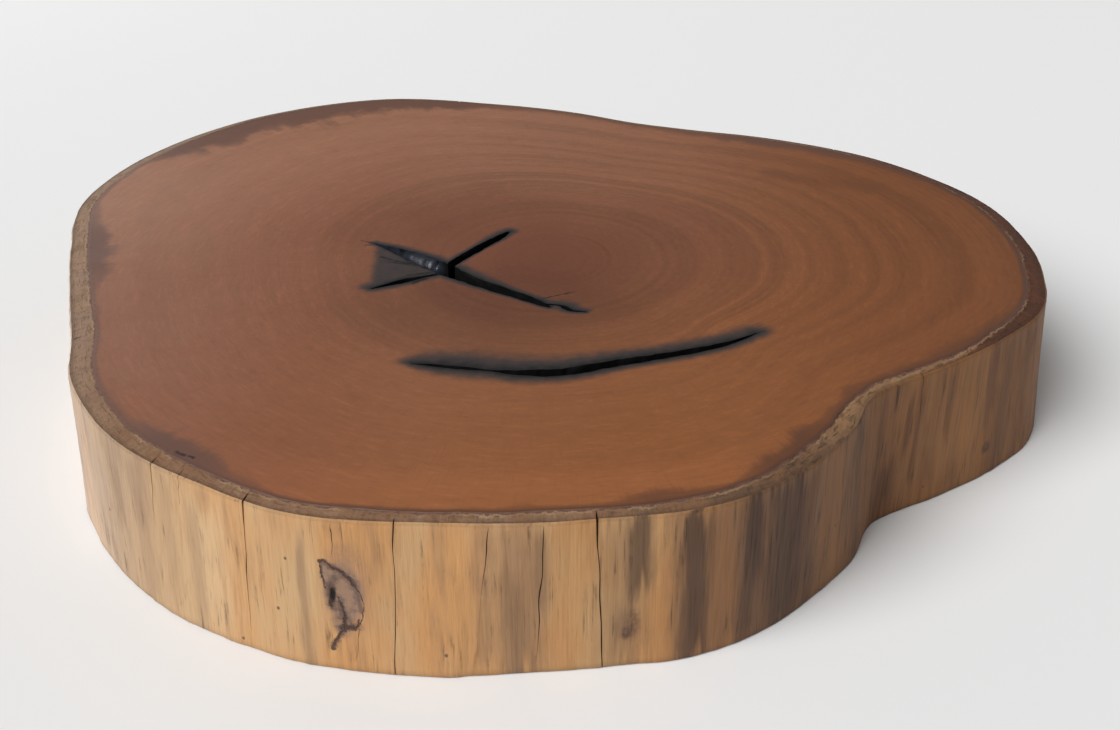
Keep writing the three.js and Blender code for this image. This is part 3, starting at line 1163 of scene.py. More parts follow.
def patch_effect():
    """A ragged patch that stands up the side: 1 within its width and height, 0 outside."""

    def build(bench, given):
        across = bench.math("ABSOLUTE", bench.minus(given["Girth"], given["Middle"]))
        across = bench.over(across, given["Half Width"])
        ragged = bench.times(bench.minus(given["Grain"], 0.5), 2.2)
        across = bench.fade(bench.plus(across, ragged), 0.25, 1.35)
        waver = bench.times(bench.minus(given["Grain"], 0.5), 0.12)
        height = bench.plus(given["Height"], waver)
        above = bench.minus(height, given["Low"])
        below = bench.minus(given["High"], height)
        ends = bench.times(bench.ramp(above, -0.012, 0.02), bench.ramp(below, -0.012, 0.02))
        return (bench.times(across, ends),)

    return effect(
        "Stain Patch",
        [("Girth", "Float", 0), ("Height", "Float", 0), ("Grain", "Float", 0.5), ("Middle", "Float", 0),
         ("Half Width", "Float", 0.01), ("Low", "Float", 0), ("High", "Float", 0.15)],
        [("Mask", "Float")],
        build)


class Effects:
    """The shader node groups that the materials share, each built once."""

    def __init__(self):
        self.rings = rings_effect()
        self.rays = rays_effect()
        self.fibres = fibre_effect()
        self.stroke = stroke_effect()
        self.patch = patch_effect()


def new_material(name):
    """An empty material, with its bench and its main shader."""
    material = bpy.data.materials.new(name)
    material.use_nodes = True
    tree = material.node_tree
    tree.nodes.clear()
    bench = Bench(tree)
    shader = bench.node("BsdfPrincipled")
    output = bench.node("OutputMaterial")
    tree.links.new(shader.outputs[0], output.inputs[0])
    return material, bench, shader


def finish_material(bench, shader, colour, roughness, height, distance):
    """Feeds the main shader with a colour, a roughness and a bump."""
    bump = bench.node("Bump", {"Height": height, "Strength": 1.0, "Distance": distance})
    bench.feed(shader.inputs["Base Color"], colour)
    bench.feed(shader.inputs["Roughness"], roughness)
    bench.feed(shader.inputs["Normal"], bump.outputs[0])


def stroke(bench, effects, place, start, end, half_width, middle=0.0, **more):
    """The mask of a stroke whose ends are given in millimetres from a middle."""
    start, end = ((middle + x * MM, y * MM, 0) for x, y in (start, end))
    ends = {"start": start, "end": end}
    return bench.group(effects.stroke, place=place, width=half_width * MM, **ends, **more)["Mask"]


# The dark smear at the back right of the top: two ends and a half width, in millimetres
SMEAR = ((265, 188), (365, 144), 24)

# Small pits and hairline splits in the top, in the same measure
TOP_PITS = (
    ((-279, -368), (-272, -372), 2.8), ((-268, -374), (-264, -376), 2.0), ((5, -113), (20, -106), 0.9),
    ((20, -106), (38, -98), 0.8), ((-155, -20), (-140, -29), 2.8), ((-140, -29), (-118, -39), 4.0),
    ((-150, -30), (-128, -37), 1.6), ((-126, -61), (-103, -55), 2.0), ((-119, -77), (-108, -69), 4.0),
    ((-166, 13), (-180, 19), 0.9), ((-166, 9), (-176, 8), 0.8), ((198, -184), (206, -179), 1.0),
)


def varnished_top(effects, colours):
    """Oiled and varnished end grain: rings, rays, an edge stain, and soot round the cracks."""
    material, bench, shader = new_material("Varnished Heartwood")
    place = bench.place()
    x, y, _ = bench.parts(place)[:]
    rings = bench.group(effects.rings, place=place, reach=bench.attribute("reach"))
    rays = bench.group(effects.rays, place=place)["Streak"]
    fine_rays = bench.group(effects.rays, place=place, around_scale=420.0, length_scale=60.0)["Streak"]
    cloud = bench.noise(place, 7, 3)
    to_front = bench.plus(bench.times(x, 0.75), bench.times(y, -0.65))
    outer = bench.mix(bench.ramp(to_front, -0.2, 0.35), colours.heart_outer, colours.heart_warm)
    # The right lobe darkens: partly deeper heartwood, partly painted shade
    outer = bench.mix(bench.ramp(x, 0.12, 0.42), outer, colours.heart_deep_and_shade)
    reach = bench.plus(rings["Share"], bench.times(bench.minus(cloud, 0.5), 0.3))
    colour = bench.mix(bench.ramp(reach, 0.02, 0.62), colours.heart_inner, outer)
    gone = bench.vector("MULTIPLY", bench.vector("SUBTRACT", place, (-0.035, -0.13, 0)), (5.8, 10.0, 0))
    colour = bench.tone(bench.fade(bench.vector("LENGTH", gone), 0.3, 1.3, 0.8), colour, 0.73)
    colour = bench.tone(bench.fade(y, -0.43, -0.35, 0.9), colour, 1.2)
    back_left = bench.plus(bench.times(x, -0.6), bench.times(y, 0.8))
    # Painted sheen: the top's back left is lifted paler and bluer, as varnish reflecting a bright surround
    colour = bench.tone(bench.ramp(back_left, 0.12, 0.4), colour, (1.13, 1.19, 1.24))
    left = bench.times(bench.fade(x, -0.22, -0.06), bench.fade(back_left, 0.12, 0.4))
    colour = bench.tone(left, colour, (0.89, 0.80, 0.75))
    clear = bench.times(bench.ramp(x, -0.30, 0.08, 0.3, 1.0), bench.ramp(y, -0.34, -0.10, 0.4, 1.0))
    beyond_heart = bench.ramp(rings["Share"], 0.12, 0.3, 0.1, 0.6)
    broad = bench.times(bench.ramp(rings["Broad"], 0.38, 0.62), beyond_heart)
    broad = bench.times(broad, clear)
    colour = bench.tone(broad, colour, 0.78)
    fine = bench.times(bench.rise(rings["Fine"], 0.35, 0.68, 0.4), clear)
    colour = bench.tone(fine, colour, 0.84)
    line = bench.times(rings["Line"], bench.times(clear, 0.42))
    colour = bench.tone(line, colour, 0.66)
    # Painted sheen: light and dark dashes along the rings stand in for the shimmer of the varnished end
    # grain
    sheen_streaks = bench.group(effects.rays, place=place, around_scale=16.0, length_scale=230.0)["Streak"]
    fine_sheen_streaks = bench.group(effects.rays, place=place, around_scale=42.0, length_scale=620.0)["Streak"]
    colour = bench.tone(bench.rise(sheen_streaks, 0.52, 0.70, 0.7), colour, 1.17)
    colour = bench.tone(bench.fade(sheen_streaks, 0.30, 0.47, 0.6), colour, 0.87)
    colour = bench.tone(bench.rise(fine_sheen_streaks, 0.52, 0.68, 0.6), colour, 1.14)
    colour = bench.tone(bench.fade(fine_sheen_streaks, 0.32, 0.47, 0.5), colour, 0.88)
    colour = bench.tone(bench.rise(rays, 0.52, 0.7, 0.45), colour, 0.86)
    colour = bench.tone(bench.rise(fine_rays, 0.55, 0.75, 0.4), colour, 0.82)
    pores = bench.noise(place, 900, 1)
    colour = bench.tone(bench.rise(pores, 0.6, 0.72, 0.3), colour, 0.7)
    inset = bench.attribute("inset")
    width = bench.attribute("stain_width")
    blot = bench.noise(place, 34, 3, 0.55)
    ragged = bench.plus(bench.spread(rays, 0.90, 1.04), bench.spread(blot, -0.26, 0.26))
    depth = bench.over(inset, bench.times(width, ragged))
    strength = bench.ramp(width, 0.003, 0.030, 0.38, 0.86)
    stain = bench.mix(bench.ramp(to_front, 0.0, 0.3), colours.stain, colours.stain_front)
    colour = bench.mix(bench.times(bench.fade(depth, 0.45, 1.15), strength), colour, stain)
    # A thin line of painted shade along the small step down to the rim, in the stain colour
    colour = bench.mix(bench.fade(inset, 0.0005, 0.005, 0.7), colour, stain)
    smoke = bench.noise(place, 90, 3, 0.55)
    soot = bench.plus(bench.attribute("soot"), bench.spread(smoke, -0.06, 0.05))
    sooty = bench.rise(soot, 0.06, 0.76, 0.93)
    burnt = bench.rise(soot, 0.70, 1.0, 0.85)
    flat = bench.vector("MULTIPLY", place, (1, 1, 0))
    smear = stroke(bench, effects, flat, *SMEAR)
    colour = bench.tone(bench.times(smear, 0.6), colour, 0.72)
    colour = bench.mix(sooty, colour, colours.soot_film)
    colour = bench.mix(burnt, colour, colours.soot)
    for row in TOP_PITS:
        pit = stroke(bench, effects, flat, *row, grain=smoke)
        colour = bench.mix(bench.times(pit, 0.9), colour, colours.soot)
    height = bench.plus(bench.times(rings["Line"], -0.35), bench.times(fine_rays, 0.5))
    height = bench.plus(height, bench.times(pores, 0.5))
    uneven = bench.spread(bench.noise(place, 22, 3), 0.40, 0.47)
    rough = bench.plus(uneven, bench.times(sooty, 0.05))
    finish_material(bench, shader, colour, rough, height, 0.05 * MM)
    shader.inputs["Coat Weight"].default_value = 0.06
    shader.inputs["Coat Roughness"].default_value = 0.28
    shader.inputs["IOR"].default_value = 1.45
    return material


def eased_rim(effects, colours):
    """The eased rim: bare sapwood, knocked and split, between a dark line and the side."""
    material, bench, shader = new_material("Eased Sapwood Rim")
    place = bench.place()
    x, y, _ = bench.parts(place)[:]
    rays = bench.group(effects.rays, place=place, around_scale=130.0, length_scale=45.0)["Streak"]
    fine = bench.group(effects.rays, place=place, around_scale=420.0, length_scale=90.0)["Streak"]
    blotch = bench.noise(place, 26, 4, 0.6)
    chip = bench.noise(place, 170, 3, 0.6)
    weathering = bench.attribute("weathering")
    grey = bench.plus(weathering, bench.spread(blotch, -0.35, 0.35))
    colour = bench.mix(bench.fade(x, -0.43, -0.3), colours.rim, colours.rim_left)
    colour = bench.mix(bench.rise(blotch, 0.4, 0.75, 0.4), colour, colours.rim_pale_and_highlight)
    from_notch = bench.vector("LENGTH", bench.vector("SUBTRACT", place, (0.30, -0.275, 0.143)))
    at_notch = bench.fade(from_notch, 0.05, 0.16)
    tan = bench.times(at_notch, 0.7)
    worn = bench.times(bench.rise(grey, 0.2, 0.9, 0.85), bench.minus(1, tan))
    colour = bench.mix(worn, colour, colours.rim_worn)
    colour = bench.mix(tan, colour, colours.rim_tan)
    colour = bench.tone(bench.rise(rays, 0.48, 0.72, 0.45), colour, 0.5)
    colour = bench.tone(bench.rise(fine, 0.5, 0.75, 0.35), colour, 0.55)
    colour = bench.tone(bench.rise(chip, 0.5, 0.7, 0.4), colour, 0.6)
    inset = bench.attribute("inset")
    along = bench.node("CombineXYZ", [(0, bench.attribute("girth")), (1, bench.times(inset, 5.0))])
    fissure = bench.noise(along.outputs[0], 62, 4, 0.62, 0.25)
    torn = bench.times(bench.ramp(fissure, 0.52, 0.66), bench.ramp(from_notch, 0.08, 0.22, 0.75, 0.4))
    colour = bench.tone(torn, colour, 0.5)
    edge = bench.plus(bench.parts(place)[2], bench.spread(fissure, -0.0009, 0.0009))
    colour = bench.tone(bench.fade(edge, 0.1420, 0.1436, 0.65), colour, 0.52)
    reddish = bench.ramp(x, 0.30, 0.42)
    colour = bench.tone(reddish, colour, (0.60, 0.36, 0.23))
    outward = bench.times(inset, -1.0)
    outward = bench.plus(outward, bench.spread(chip, -0.0012, 0.0012))
    # Painted highlight: a broken pale line on the rim just past the step down from the top
    pale = bench.times(bench.ramp(outward, 0.0012, 0.0020), bench.fade(outward, 0.0026, 0.0042))
    pale = bench.times(pale, bench.ramp(blotch, 0.44, 0.62, 0.05, 0.5))
    colour = bench.mix(pale, colour, colours.rim_pale_and_highlight)
    # Painted shade along the small step between the top and the rim, in the stain colour
    colour = bench.mix(bench.fade(outward, 0.0008, 0.0022, 0.85), colour, colours.stain)
    # Painted shade inside the drying checks that split the rim
    colour = bench.tone(bench.attribute("check"), colour, 0.12)
    height = bench.plus(bench.times(rays, -0.45), bench.times(chip, -0.7))
    height = bench.plus(height, bench.times(torn, -1.2))
    finish_material(bench, shader, colour, bench.spread(chip, 0.55, 0.75), height, 0.8 * MM)
    return material


# The whole girth, in millimetres, on which the places below were measured, from the right
MEASURED_GIRTH = 3016


def at_girth(outline, girth):
    """A measured girth as a girth of this outline, in metres."""
    return girth / MEASURED_GIRTH * outline.length


# Stains that stand in the sapwood, and a cream streak that is partly a painted highlight: girth and half
# width, foot and head in millimetres, strength, and colour
Band = namedtuple("Band", "girth half_width foot head strength colour")
BANDS = tuple(Band(*row) for row in (
    (2010, 26, -9, 126, 0.5, "sap_cream_and_highlight"), (2098, 5, -9, 118, 0.55, "sap_grey"),
    (1900, 6, 50, 130, 0.45, "sap_grey"), (1936, 15, -9, 143, 0.3, "sap_grey"),
    (1968, 9, 20, 143, 0.25, "sap_grey"), (1996, 8, -9, 118, 0.4, "sap_grey"),
    (2237, 6, 8, 108, 0.4, "sap_grey"), (2267, 20, -9, 136, 0.55, "sap_grey"),
    (2259, 9, -9, 92, 0.3, "sap_brown"), (2281, 7, 60, 136, 0.35, "sap_brown"),
    (2340, 7, 10, 60, 0.55, "sap_brown"), (2300, 16, -9, 143, 0.45, "sap_tan"),
    (2342, 22, -9, 143, 0.38, "sap_grey"), (2354, 11, 60, 143, 0.80, "sap_brown"),
    (2376, 8, -9, 144, 0.25, "sap_tan"), (2399, 17, -9, 133, 0.94, "sap_brown"),
    (2425, 16, -9, 143, 0.75, "sap_umber"), (2447, 14, 50, 143, 0.93, "sap_brown"),
    (2444, 9, -9, 60, 0.7, "sap_brown"), (2484, 20, -9, 143, 0.94, "sap_brown"),
    (2522, 8, -9, 70, 0.4, "sap_brown"), (2556, 9, -9, 143, 0.2, "sap_tan"),
    (2596, 12, -9, 143, 0.45, "sap_brown"), (2660, 15, -6, 62, 0.8, "sap_rust"),
    (2648, 6, 20, 143, 0.4, "sap_rust"), (2681, 3.5, 62, 118, 0.7, "sap_rust"),
    (2712, 9, 10, 70, 0.3, "sap_rust"), (2790, 9, 62, 143, 0.65, "sap_rust"),
    (2800, 14, -9, 80, 0.3, "sap_rust"), (2842, 20, -9, 143, 0.45, "sap_rust"),
    (2905, 16, -9, 143, 0.5, "sap_rust"), (2693, 4, 30, 128, 0.6, "sap_rust"),
    (2731, 5, 60, 140, 0.45, "sap_rust"), (2453, 11, -9, 143, 0.35, "knot_line"),
    (2507, 17, -9, 143, 0.45, "knot_line"), (2812, 13, -9, 143, 0.4, "knot_line"),
    (60, 16, -9, 143, 0.5, "sap_brown"), (240, 12, 30, 143, 0.55, "sap_brown"),
    (520, 15, -9, 110, 0.5, "sap_grey"), (700, 10, -9, 143, 0.5, "sap_brown"),
    (905, 17, 10, 143, 0.55, "sap_brown"), (1180, 12, -9, 90, 0.5, "sap_grey"),
    (1420, 13, -9, 143, 0.45, "sap_grey"), (1640, 10, 40, 143, 0.4, "sap_grey"),
))

# Lines of the branch knot: across and up from its middle, in millimetres, and each line's half width
KNOT_LINES = (
    ((-17, 104), (-12.5, 104.5), 1.2), ((-12.5, 104.5), (-6.5, 99), 0.9), ((-6.5, 99), (1, 95), 1.1),
    ((1, 95), (7, 88), 1.4), ((7, 88), (8.5, 84), 1.6), ((-17, 104), (-16, 92), 1.1),
    ((-16, 92), (-14, 80), 0.8), ((8.5, 84), (13, 77), 0.35), ((13, 77), (15, 66), 0.3),
    ((15, 66), (13, 54), 0.35), ((13, 54), (9.5, 45), 0.5), ((-9, 79), (-11, 63), 1.8),
    ((-5, 70), (-2, 62), 1.0), ((-2, 62), (0, 52), 1.1), ((-1, 52), (-2, 41), 1.7),
    ((-4, 42), (4, 44), 2.4), ((0, 45), (6, 42), 1.7), ((6, 43), (9.5, 46), 1.1),
    ((9.5, 46), (10, 52), 0.8), ((-4, 39), (-8, 33), 1.5), ((-8, 33), (-12, 25), 1.4),
    ((-12, 25), (-13.5, 20), 1.8),
)

# Softer shadows round the knot's darkest lines, in the same measure
KNOT_SHADOWS = (
    ((-15, 103), (-5, 99), 4.0), ((-3, 97), (8, 86), 5.0), ((-10, 84), (-10, 62), 5.5),
    ((-5, 66), (-1, 44), 5.0), ((-3, 43), (8, 45), 5.5), ((-4, 38), (-13, 22), 3.4),
    ((10, 80), (13, 60), 3.0),
)


def sapwood_side(effects, colours, outline):
    """The side: clean and weathered sapwood, fibres, stains, knots, pin-holes and drying checks."""
    material, bench, shader = new_material("Weathered Sapwood")
    place = bench.place()
    across, back, height = bench.parts(place)[:]
    girth = bench.attribute("girth")
    fine, streak, broad = bench.group(effects.fibres, place=place)[:]
    weathering = bench.attribute("weathering")
    to_left = bench.fade(across, -0.40, -0.22)
    colour = bench.mix(bench.ramp(broad, 0.36, 0.66), colours.sap_tan, colours.sap_pale)
    creamy = bench.fade(across, -0.34, -0.16, 0.7)
    colour = bench.mix(creamy, colour, colours.sap_pale)
    dull = bench.times(to_left, bench.ramp(broad, 0.3, 0.6, 0.95, 0.6))
    colour = bench.mix(dull, colour, colours.sap_blush)
    colour = bench.mix(bench.rise(weathering, 0.36, 0.66, 0.88), colour, colours.sap_umber)
    mottle = bench.noise(bench.vector("MULTIPLY", place, (1, 1, 0.35)), 60, 4, 0.6)
    worn = bench.plus(bench.times(weathering, 0.75), bench.spread(broad, 0.16, -0.16))
    worn = bench.plus(worn, bench.ramp(streak, 0.28, 0.72, -0.24, 0.24))
    worn = bench.plus(worn, bench.spread(mottle, -0.12, 0.12))
    greyed = bench.node("MapRange", {"Value": worn, "From Min": 0.1, "From Max": 0.9, "To Max": 0.95})
    colour = bench.mix(greyed.outputs[0], colour, colours.sap_grey)
    browned = bench.plus(worn, bench.spread(fine, -0.2, 0.2))
    colour = bench.mix(bench.rise(browned, 0.6, 1.25, 0.8), colour, colours.sap_brown)
    for band in BANDS:
        mask = bench.group(
            effects.patch, girth=girth, height=height, grain=streak, middle=at_girth(outline, band.girth),
            half_width=band.half_width * MM, low=band.foot * MM, high=band.head * MM)["Mask"]
        strength = bench.times(mask, band.strength)
        colour = bench.mix(strength, colour, getattr(colours, band.colour))
    tint = bench.mix(bench.ramp(across, -0.05, 0.1), (1, 1, 1), colours.shade_front)
    tint = bench.mix(bench.ramp(across, 0.12, 0.3), tint, colours.shade)
    # Painted light: the front of the far left side, which faces the key light, is lifted paler and bluer
    painted_light_far_left = bench.fade(across, -0.41, -0.335)
    painted_light_far_left = bench.times(painted_light_far_left, bench.fade(back, -0.06, 0.06))
    tint = bench.mix(painted_light_far_left, tint, (1.45, 1.45, 1.55))
    colour = bench.mix(1.0, colour, tint, "MULTIPLY")
    colour = bench.tone(bench.rise(fine, 0.42, 0.78, 0.5), colour, 0.7)
    flecks = bench.times(bench.ramp(fine, 0.56, 0.66), bench.ramp(mottle, 0.5, 0.62))
    colour = bench.tone(bench.times(flecks, 0.75), colour, 0.45)
    colour, dark_lines = knots(effects, bench, colours, outline, girth, height, colour)
    colour = bench.tone(bench.rise(height, 0.1385, 0.1408, 0.35), colour, 0.5)
    colour = bench.tone(bench.fade(height, 0.001, 0.008, 0.4), colour, 0.6)
    # Painted shade inside the drying checks' grooves
    check = bench.attribute("check")
    colour = bench.tone(bench.ramp(check, 0.0, 0.9), colour, 0.16)
    relief = bench.plus(bench.times(fine, -0.55), bench.times(streak, -0.9))
    relief = bench.plus(relief, bench.times(dark_lines, -1.6))
    finish_material(bench, shader, colour, bench.spread(fine, 0.62, 0.78), relief, 0.7 * MM)
    return material


# Where the branch knot stands, as a measured girth
KNOT_GIRTH = 2131.5

# Small knots: measured girth, height, half width, half height in millimetres, and strength
SMALL_KNOTS = (
    (2350, 42, 8, 18, 0.55), (2345, 33, 4.5, 8, 0.75), (2791, 32, 7, 8, 0.75), (2790, 30, 2.5, 3, 0.9),
    (975, 85, 14, 26, 0.65), (972, 80, 6, 12, 0.8),
)

# Insect pin-holes: measured girth and height, in millimetres
PIN_HOLES = (
    (2086, 100), (2075, 50), (2038, 8), (2207, 22), (2555, 60), (2712, 18), (1875, 60), (1710, 110),
    (1530, 40), (1302, 95), (1040, 30), (640, 70), (330, 105), (130, 40),
)


def knots(effects, bench, colours, outline, girth, height, colour):
    """Colours the branch knot, the small knots and the pin-holes. Returns the colour and the dark lines."""
    spot = bench.node("CombineXYZ", [(0, girth), (1, height)]).outputs[0]
    waver = bench.node("TexNoise", {"Vector": spot, "Scale": 190.0, "Detail": 2.0}).outputs["Color"]
    waver = bench.scaled(bench.vector("SUBTRACT", waver, (0.5, 0.5, 0.5)), 0.0022)
    spot = bench.vector("ADD", spot, waver)
    middle = at_girth(outline, KNOT_GIRTH)
    mottle = bench.noise(spot, 240, 3, 0.65)
    grit = bench.noise(spot, 420, 3, 0.6)

    def oval(across, up, half_width, half_height, hard=0.75):
        """An oval mask round a place on the side, with its sizes in millimetres."""
        gone = bench.vector("SUBTRACT", spot, (across, up * MM, 0))
        gone = bench.vector("MULTIPLY", gone, (1000 / half_width, 1000 / half_height, 0))
        flat = bench.vector("MULTIPLY", gone, (1, 1, 0))
        return bench.fade(bench.vector("LENGTH", flat), hard, 1.15)

    glow = oval(middle + 2 * MM, 76, 24, 46, 0.45)
    colour = bench.mix(bench.times(glow, 0.5), colour, colours.knot_glow)
    brow = oval(middle + 1 * MM, 110, 17, 15, 0.3)
    brow = bench.times(brow, bench.spread(mottle, 0.15, 0.45))
    colour = bench.mix(brow, colour, colours.sap_grey)
    face = bench.most(oval(middle - 0.5 * MM, 75, 16, 29), oval(middle - 3 * MM, 50, 10, 17, 0.5))
    face = bench.most(face, oval(middle - 11 * MM, 92, 7, 14, 0.7))
    cloud = bench.noise(spot, 95, 3, 0.55)
    clouded = bench.times(face, bench.ramp(cloud, 0.35, 0.65, 0.75, 1.0))
    colour = bench.mix(clouded, colour, colours.knot_face)
    shade = bench.times(face, bench.rise(cloud, 0.46, 0.66, 0.45))
    soft_grain = bench.ramp(mottle, 0.2, 0.8, 0.35, 0.65)
    for row in KNOT_SHADOWS:
        mask = stroke(bench, effects, spot, *row, middle, grain=soft_grain)
        shade = bench.most(shade, bench.times(mask, 0.62))
    colour = bench.mix(shade, colour, colours.knot_line)
    lines = None
    for start, end, half_width in KNOT_LINES:
        mask = stroke(bench, effects, spot, start, end, half_width * 1.25, middle, grain=grit)
        lines = mask if lines is None else bench.most(lines, mask)
    broken = bench.times(lines, bench.ramp(mottle, 0.25, 0.45, 0.7, 1.0))
    colour = bench.mix(bench.times(broken, 0.92), colour, colours.knot_line)
    # Painted shade: the branch knot's sunken eye is filled with soot black so it reads as a deep hole
    pit = oval(middle - 9.5 * MM, 72, 2.0, 8, 0.5)
    colour = bench.mix(pit, colour, colours.soot)
    for across, up, half_width, half_height, strength in SMALL_KNOTS:
        mask = oval(at_girth(outline, across), up, half_width, half_height, 0.4)
        mask = bench.times(mask, bench.ramp(mottle, 0.3, 0.6, strength * 0.5, strength))
        colour = bench.mix(mask, colour, colours.knot_line)
    for across, up in PIN_HOLES:
        hole = oval(at_girth(outline, across), up, 1.5, 1.7, 0.6)
        colour = bench.mix(bench.times(hole, 0.85), colour, colours.sap_brown)
    return colour, bench.most(lines, pit)


def sawn_underside(effects, colours):
    """Bare end grain with the marks of the saw."""
    material, bench, shader = new_material("Sawn End Grain")
    place = bench.place()
    rings = bench.group(effects.rings, place=place, reach=bench.attribute("reach"))
    rays = bench.group(effects.rays, place=place, around_scale=220.0)["Streak"]
    inset = bench.attribute("inset")
    bent = bench.vector("ADD", place, bench.node("CombineXYZ", [(1, bench.noise(place, 2, 1))]).outputs[0])
    kerf = bench.noise(bench.vector("MULTIPLY", bent, (0.03, 1, 0)), 190, 3, 0.6)
    kerf_fine = bench.noise(bench.vector("MULTIPLY", bent, (0.02, 1, 0)), 700, 2, 0.6)
    blotch = bench.noise(place, 9, 4, 0.6)
    colour = bench.mix(bench.ramp(rings["Share"], 0.1, 0.7), colours.heart_inner, colours.sawn)
    colour = bench.mix(bench.fade(inset, 0.010, 0.024, 0.75), colour, colours.sap_tan)
    colour = bench.tone(bench.rise(blotch, 0.4, 0.7, 0.6), colour, 0.6)
    colour = bench.tone(bench.times(rings["Line"], 0.6), colour, 0.55)
    colour = bench.tone(bench.rise(rings["Broad"], 0.4, 0.7, 0.5), colour, 0.75)
    colour = bench.tone(bench.rise(rays, 0.5, 0.7, 0.5), colour, 0.7)
    colour = bench.tone(bench.rise(kerf, 0.45, 0.65, 0.5), colour, 0.72)
    sooty = bench.rise(bench.attribute("soot"), 0.55, 1.0, 0.75)
    colour = bench.mix(sooty, colour, colours.soot_film)
    height = bench.plus(kerf, bench.times(kerf_fine, 0.4))
    height = bench.plus(height, bench.times(rings["Line"], -0.4))
    finish_material(bench, shader, colour, bench.spread(blotch, 0.72, 0.86), height, 0.6 * MM)
    return material


def charred_crack(effects, colours):
    """The cracks' walls: torn fibres, burnt black and sealed with varnish."""
    material, bench, shader = new_material("Charred Crack")
    place = bench.place()
    fibres = bench.group(effects.fibres, place=place)
    x, y, _ = bench.parts(place)[:]
    slope = bench.times(bench.fade(x, -0.100, -0.088), bench.ramp(y, -0.066, -0.056))
    crust = bench.noise(place, 75, 3, 0.55)
    smooth = bench.noise(bench.vector("MULTIPLY", place, (1, 1, 0.5)), 38, 2, 0.45)
    colour = bench.mix(bench.rise(crust, 0.45, 0.75, 0.12), colours.soot, colours.char_pale)
    colour = bench.mix(slope, colour, colours.char_pale)
    patches = bench.noise(bench.vector("MULTIPLY", place, (1, 1.6, 0.6)), 60, 3, 0.6)
    colour = bench.mix(bench.rise(patches, 0.50, 0.60, 0.8), colour, colours.soot)
    colour = bench.mix(bench.rise(fibres["Fine"], 0.55, 0.8, 0.5), colour, colours.soot)
    height = bench.plus(bench.times(crust, 0.7), bench.times(fibres["Streak"], 0.6))
    height = bench.mix_numbers(slope, height, bench.times(smooth, 2.0))
    rough, sleek = bench.spread(crust, 0.55, 0.7), bench.spread(smooth, 0.14, 0.26)
    rough = bench.mix_numbers(slope, rough, sleek)
    finish_material(bench, shader, colour, rough, height, 1.0 * MM)
    bench.feed(shader.inputs["Specular IOR Level"], bench.mix_numbers(slope, 0.12, 0.5))
    return material


# ---------------------------------------------------------------------------------------------------------
# Operators


def add_object(context, name, data):
    """A new object in the scene."""
    made = bpy.data.objects.new(name, data)
    context.scene.collection.objects.link(made)
    return made


class BuildSlice(bpy.types.Operator):
    """Builds the trunk slice: rim, side, top, cracks and underside as one closed piece"""

    bl_idname = "trunk_slice.build_slice"
    bl_label = "Build Slice"

    def execute(self, context):
        sizes = context.scene.slice_sizes
        colours = context.scene.slice_colours
        outline = Outline()
        side = Side(outline, sizes)
        cracks = Cracks()
        faces = Faces()
        rim, foot = add_side(faces, outline, side)
        crack_heads = add_top(faces, outline, cracks, rim, sizes)
        crack_feet = add_crack_walls(faces, cracks, crack_heads, sizes.crack_narrowing)
        add_underside(faces, outline, foot, crack_feet, sizes)
        mesh = build_mesh("trunk_slice", faces)
        effects = Effects()
        for material in (
                varnished_top(effects, colours),
                eased_rim(effects, colours),
                sapwood_side(effects, colours, outline),
                sawn_underside(effects, colours),
                charred_crack(effects, colours)):
            mesh.materials.append(material)
        piece = add_object(context, "trunk_slice", mesh)
        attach(piece, BODY)
        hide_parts(SOLID)
        return {"FINISHED"}


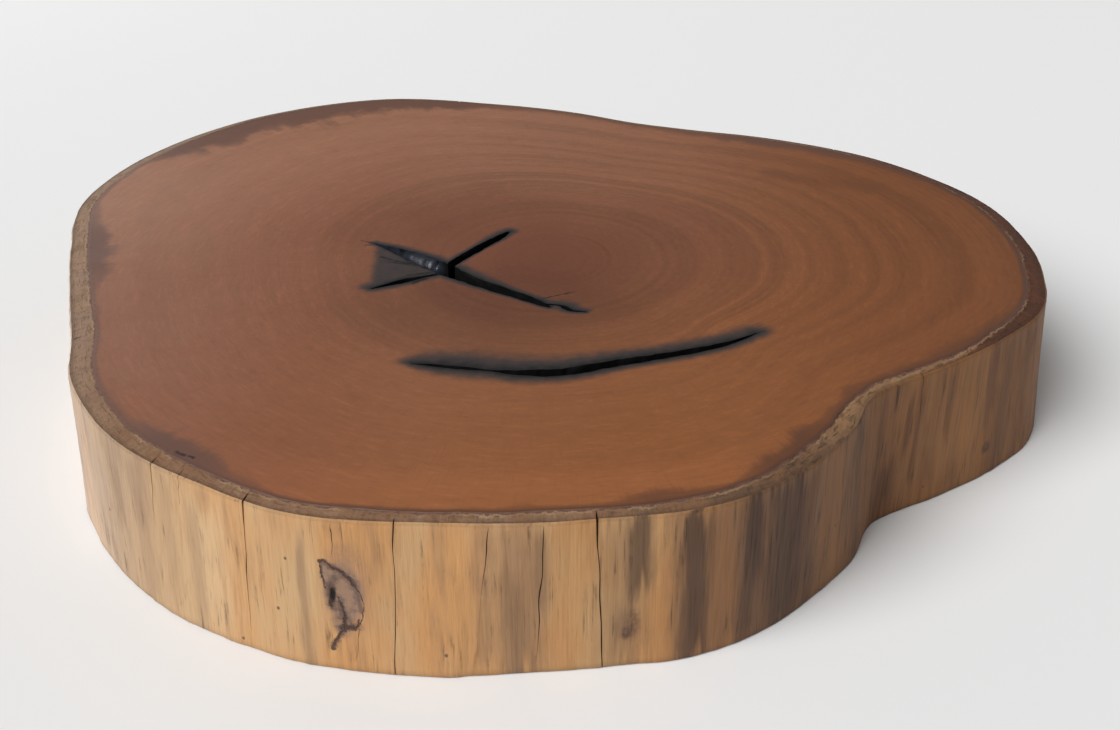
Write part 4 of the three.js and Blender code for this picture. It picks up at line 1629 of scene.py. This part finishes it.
class BuildStage(bpy.types.Operator):
    """Builds the floor, the light and the camera"""

    bl_idname = "trunk_slice.build_stage"
    bl_label = "Build Stage"

    # Lengths and places are in metres, spreads in degrees
    FLOOR_HALF_WIDTH = 9
    FLOOR_GAP = 0.4 * MM
    KEY_WAY = (-0.78, -0.62, 1.0)
    KEY_SPREAD = 42
    FILL_WAY = (0.87, 0.50, 0.85)
    FILL_SPREAD = 60
    WINDOW_PLACE = (-2.0, 2.3, 1.25)
    WINDOW_TARGET = (-0.1, 0, 0.1)
    WINDOW_SIZE = 2.0
    SENSOR_WIDTH = 36
    CLIP_START = 0.01

    def execute(self, context):
        stage = context.scene.slice_stage
        self.add_floor(context, stage)
        self.add_sun(context, "key_sun", stage.key_strength, self.KEY_WAY, self.KEY_SPREAD)
        self.add_sun(context, "fill_sun", stage.fill_strength, self.FILL_WAY, self.FILL_SPREAD)
        self.add_window(context, stage.window_power)
        self.add_sky(context, stage)
        self.add_camera(context, stage)
        context.scene.view_settings.view_transform = "Standard"
        return {"FINISHED"}

    def add_floor(self, context, stage):
        """A wide pale floor under the slice."""
        reach = self.FLOOR_HALF_WIDTH
        corners = [(-reach, -reach, 0), (reach, -reach, 0), (reach, reach, 0), (-reach, reach, 0)]
        mesh = bpy.data.meshes.new("floor")
        mesh.from_pydata(corners, [], [(0, 1, 2, 3)])
        material, bench, shader = new_material("Pale Floor")
        bench.feed(shader.inputs["Base Color"], tuple(stage.floor))
        shader.inputs["Roughness"].default_value = 0.9
        mesh.materials.append(material)
        floor = add_object(context, "floor", mesh)
        floor.location.z = LOW.z - self.FLOOR_GAP

    def add_sun(self, context, name, strength, way, spread):
        """Soft, even light from one way; spread is how wide its source looks, in degrees."""
        light = bpy.data.lights.new(name, "SUN")
        light.energy = strength
        light.angle = math.radians(spread)
        lamp = add_object(context, name, light)
        lamp.rotation_euler = Vector(way).to_track_quat("Z", "Y").to_euler()

    def add_window(self, context, power):
        """A soft square light behind the slice, which gives the varnish its sheen."""
        light = bpy.data.lights.new("window", "AREA")
        light.energy = power
        light.size = self.WINDOW_SIZE
        lamp = add_object(context, "window", light)
        lamp.location = self.WINDOW_PLACE
        way = Vector(self.WINDOW_TARGET) - Vector(self.WINDOW_PLACE)
        lamp.rotation_euler = way.to_track_quat("-Z", "Y").to_euler()

    def add_sky(self, context, stage):
        """Even light from all round."""
        world = bpy.data.worlds.new("sky")
        world.use_nodes = True
        back = next(node for node in world.node_tree.nodes if node.type == "BACKGROUND")
        back.inputs["Color"].default_value = (1, 1, 1, 1)
        back.inputs["Strength"].default_value = stage.sky_strength
        context.scene.world = world

    def add_camera(self, context, stage):
        """The camera, a little above the slice's front edge."""
        camera = bpy.data.cameras.new("camera")
        camera.sensor_fit = "HORIZONTAL"
        camera.sensor_width = self.SENSOR_WIDTH
        camera.lens = stage.lens
        camera.clip_start = self.CLIP_START
        holder = add_object(context, "camera", camera)
        tilt = Matrix.Rotation(math.pi / 2 - stage.camera_tilt, 4, "X")
        roll = Matrix.Rotation(stage.camera_roll, 4, "Z")
        holder.matrix_world = Matrix.Translation(stage.camera_place) @ tilt @ roll
        context.scene.camera = holder


class SlicePanel(bpy.types.Panel):
    """The sidebar panel of the trunk slice"""

    bl_idname = "VIEW3D_PT_trunk_slice"
    bl_label = "Trunk Slice"
    bl_space_type = "VIEW_3D"
    bl_region_type = "UI"
    bl_category = "Trunk Slice"

    def draw(self, context):
        for group in (context.scene.slice_sizes, context.scene.slice_colours, context.scene.slice_stage):
            box = self.layout.box()
            for name in group.__annotations__:
                box.prop(group, name)
        for operator in (BuildSlice, BuildStage):
            self.layout.operator(operator.bl_idname)


CLASSES = (SliceSizes, SliceColours, StageSettings, BuildSlice, BuildStage, SlicePanel)


def register():
    """Registers the classes and gives the scene their settings."""
    for kind in CLASSES:
        bpy.utils.register_class(kind)
    bpy.types.Scene.slice_sizes = bpy.props.PointerProperty(type=SliceSizes)
    bpy.types.Scene.slice_colours = bpy.props.PointerProperty(type=SliceColours)
    bpy.types.Scene.slice_stage = bpy.props.PointerProperty(type=StageSettings)


def unregister():
    """Takes the settings from the scene and unregisters the classes."""
    for name in ("slice_sizes", "slice_colours", "slice_stage"):
        delattr(bpy.types.Scene, name)
    for kind in reversed(CLASSES):
        bpy.utils.unregister_class(kind)


def main():
    """Builds the slice on its stage."""
    register()
    bpy.ops.trunk_slice.build_slice()
    bpy.ops.trunk_slice.build_stage()


if __name__ == "__main__":
    main()
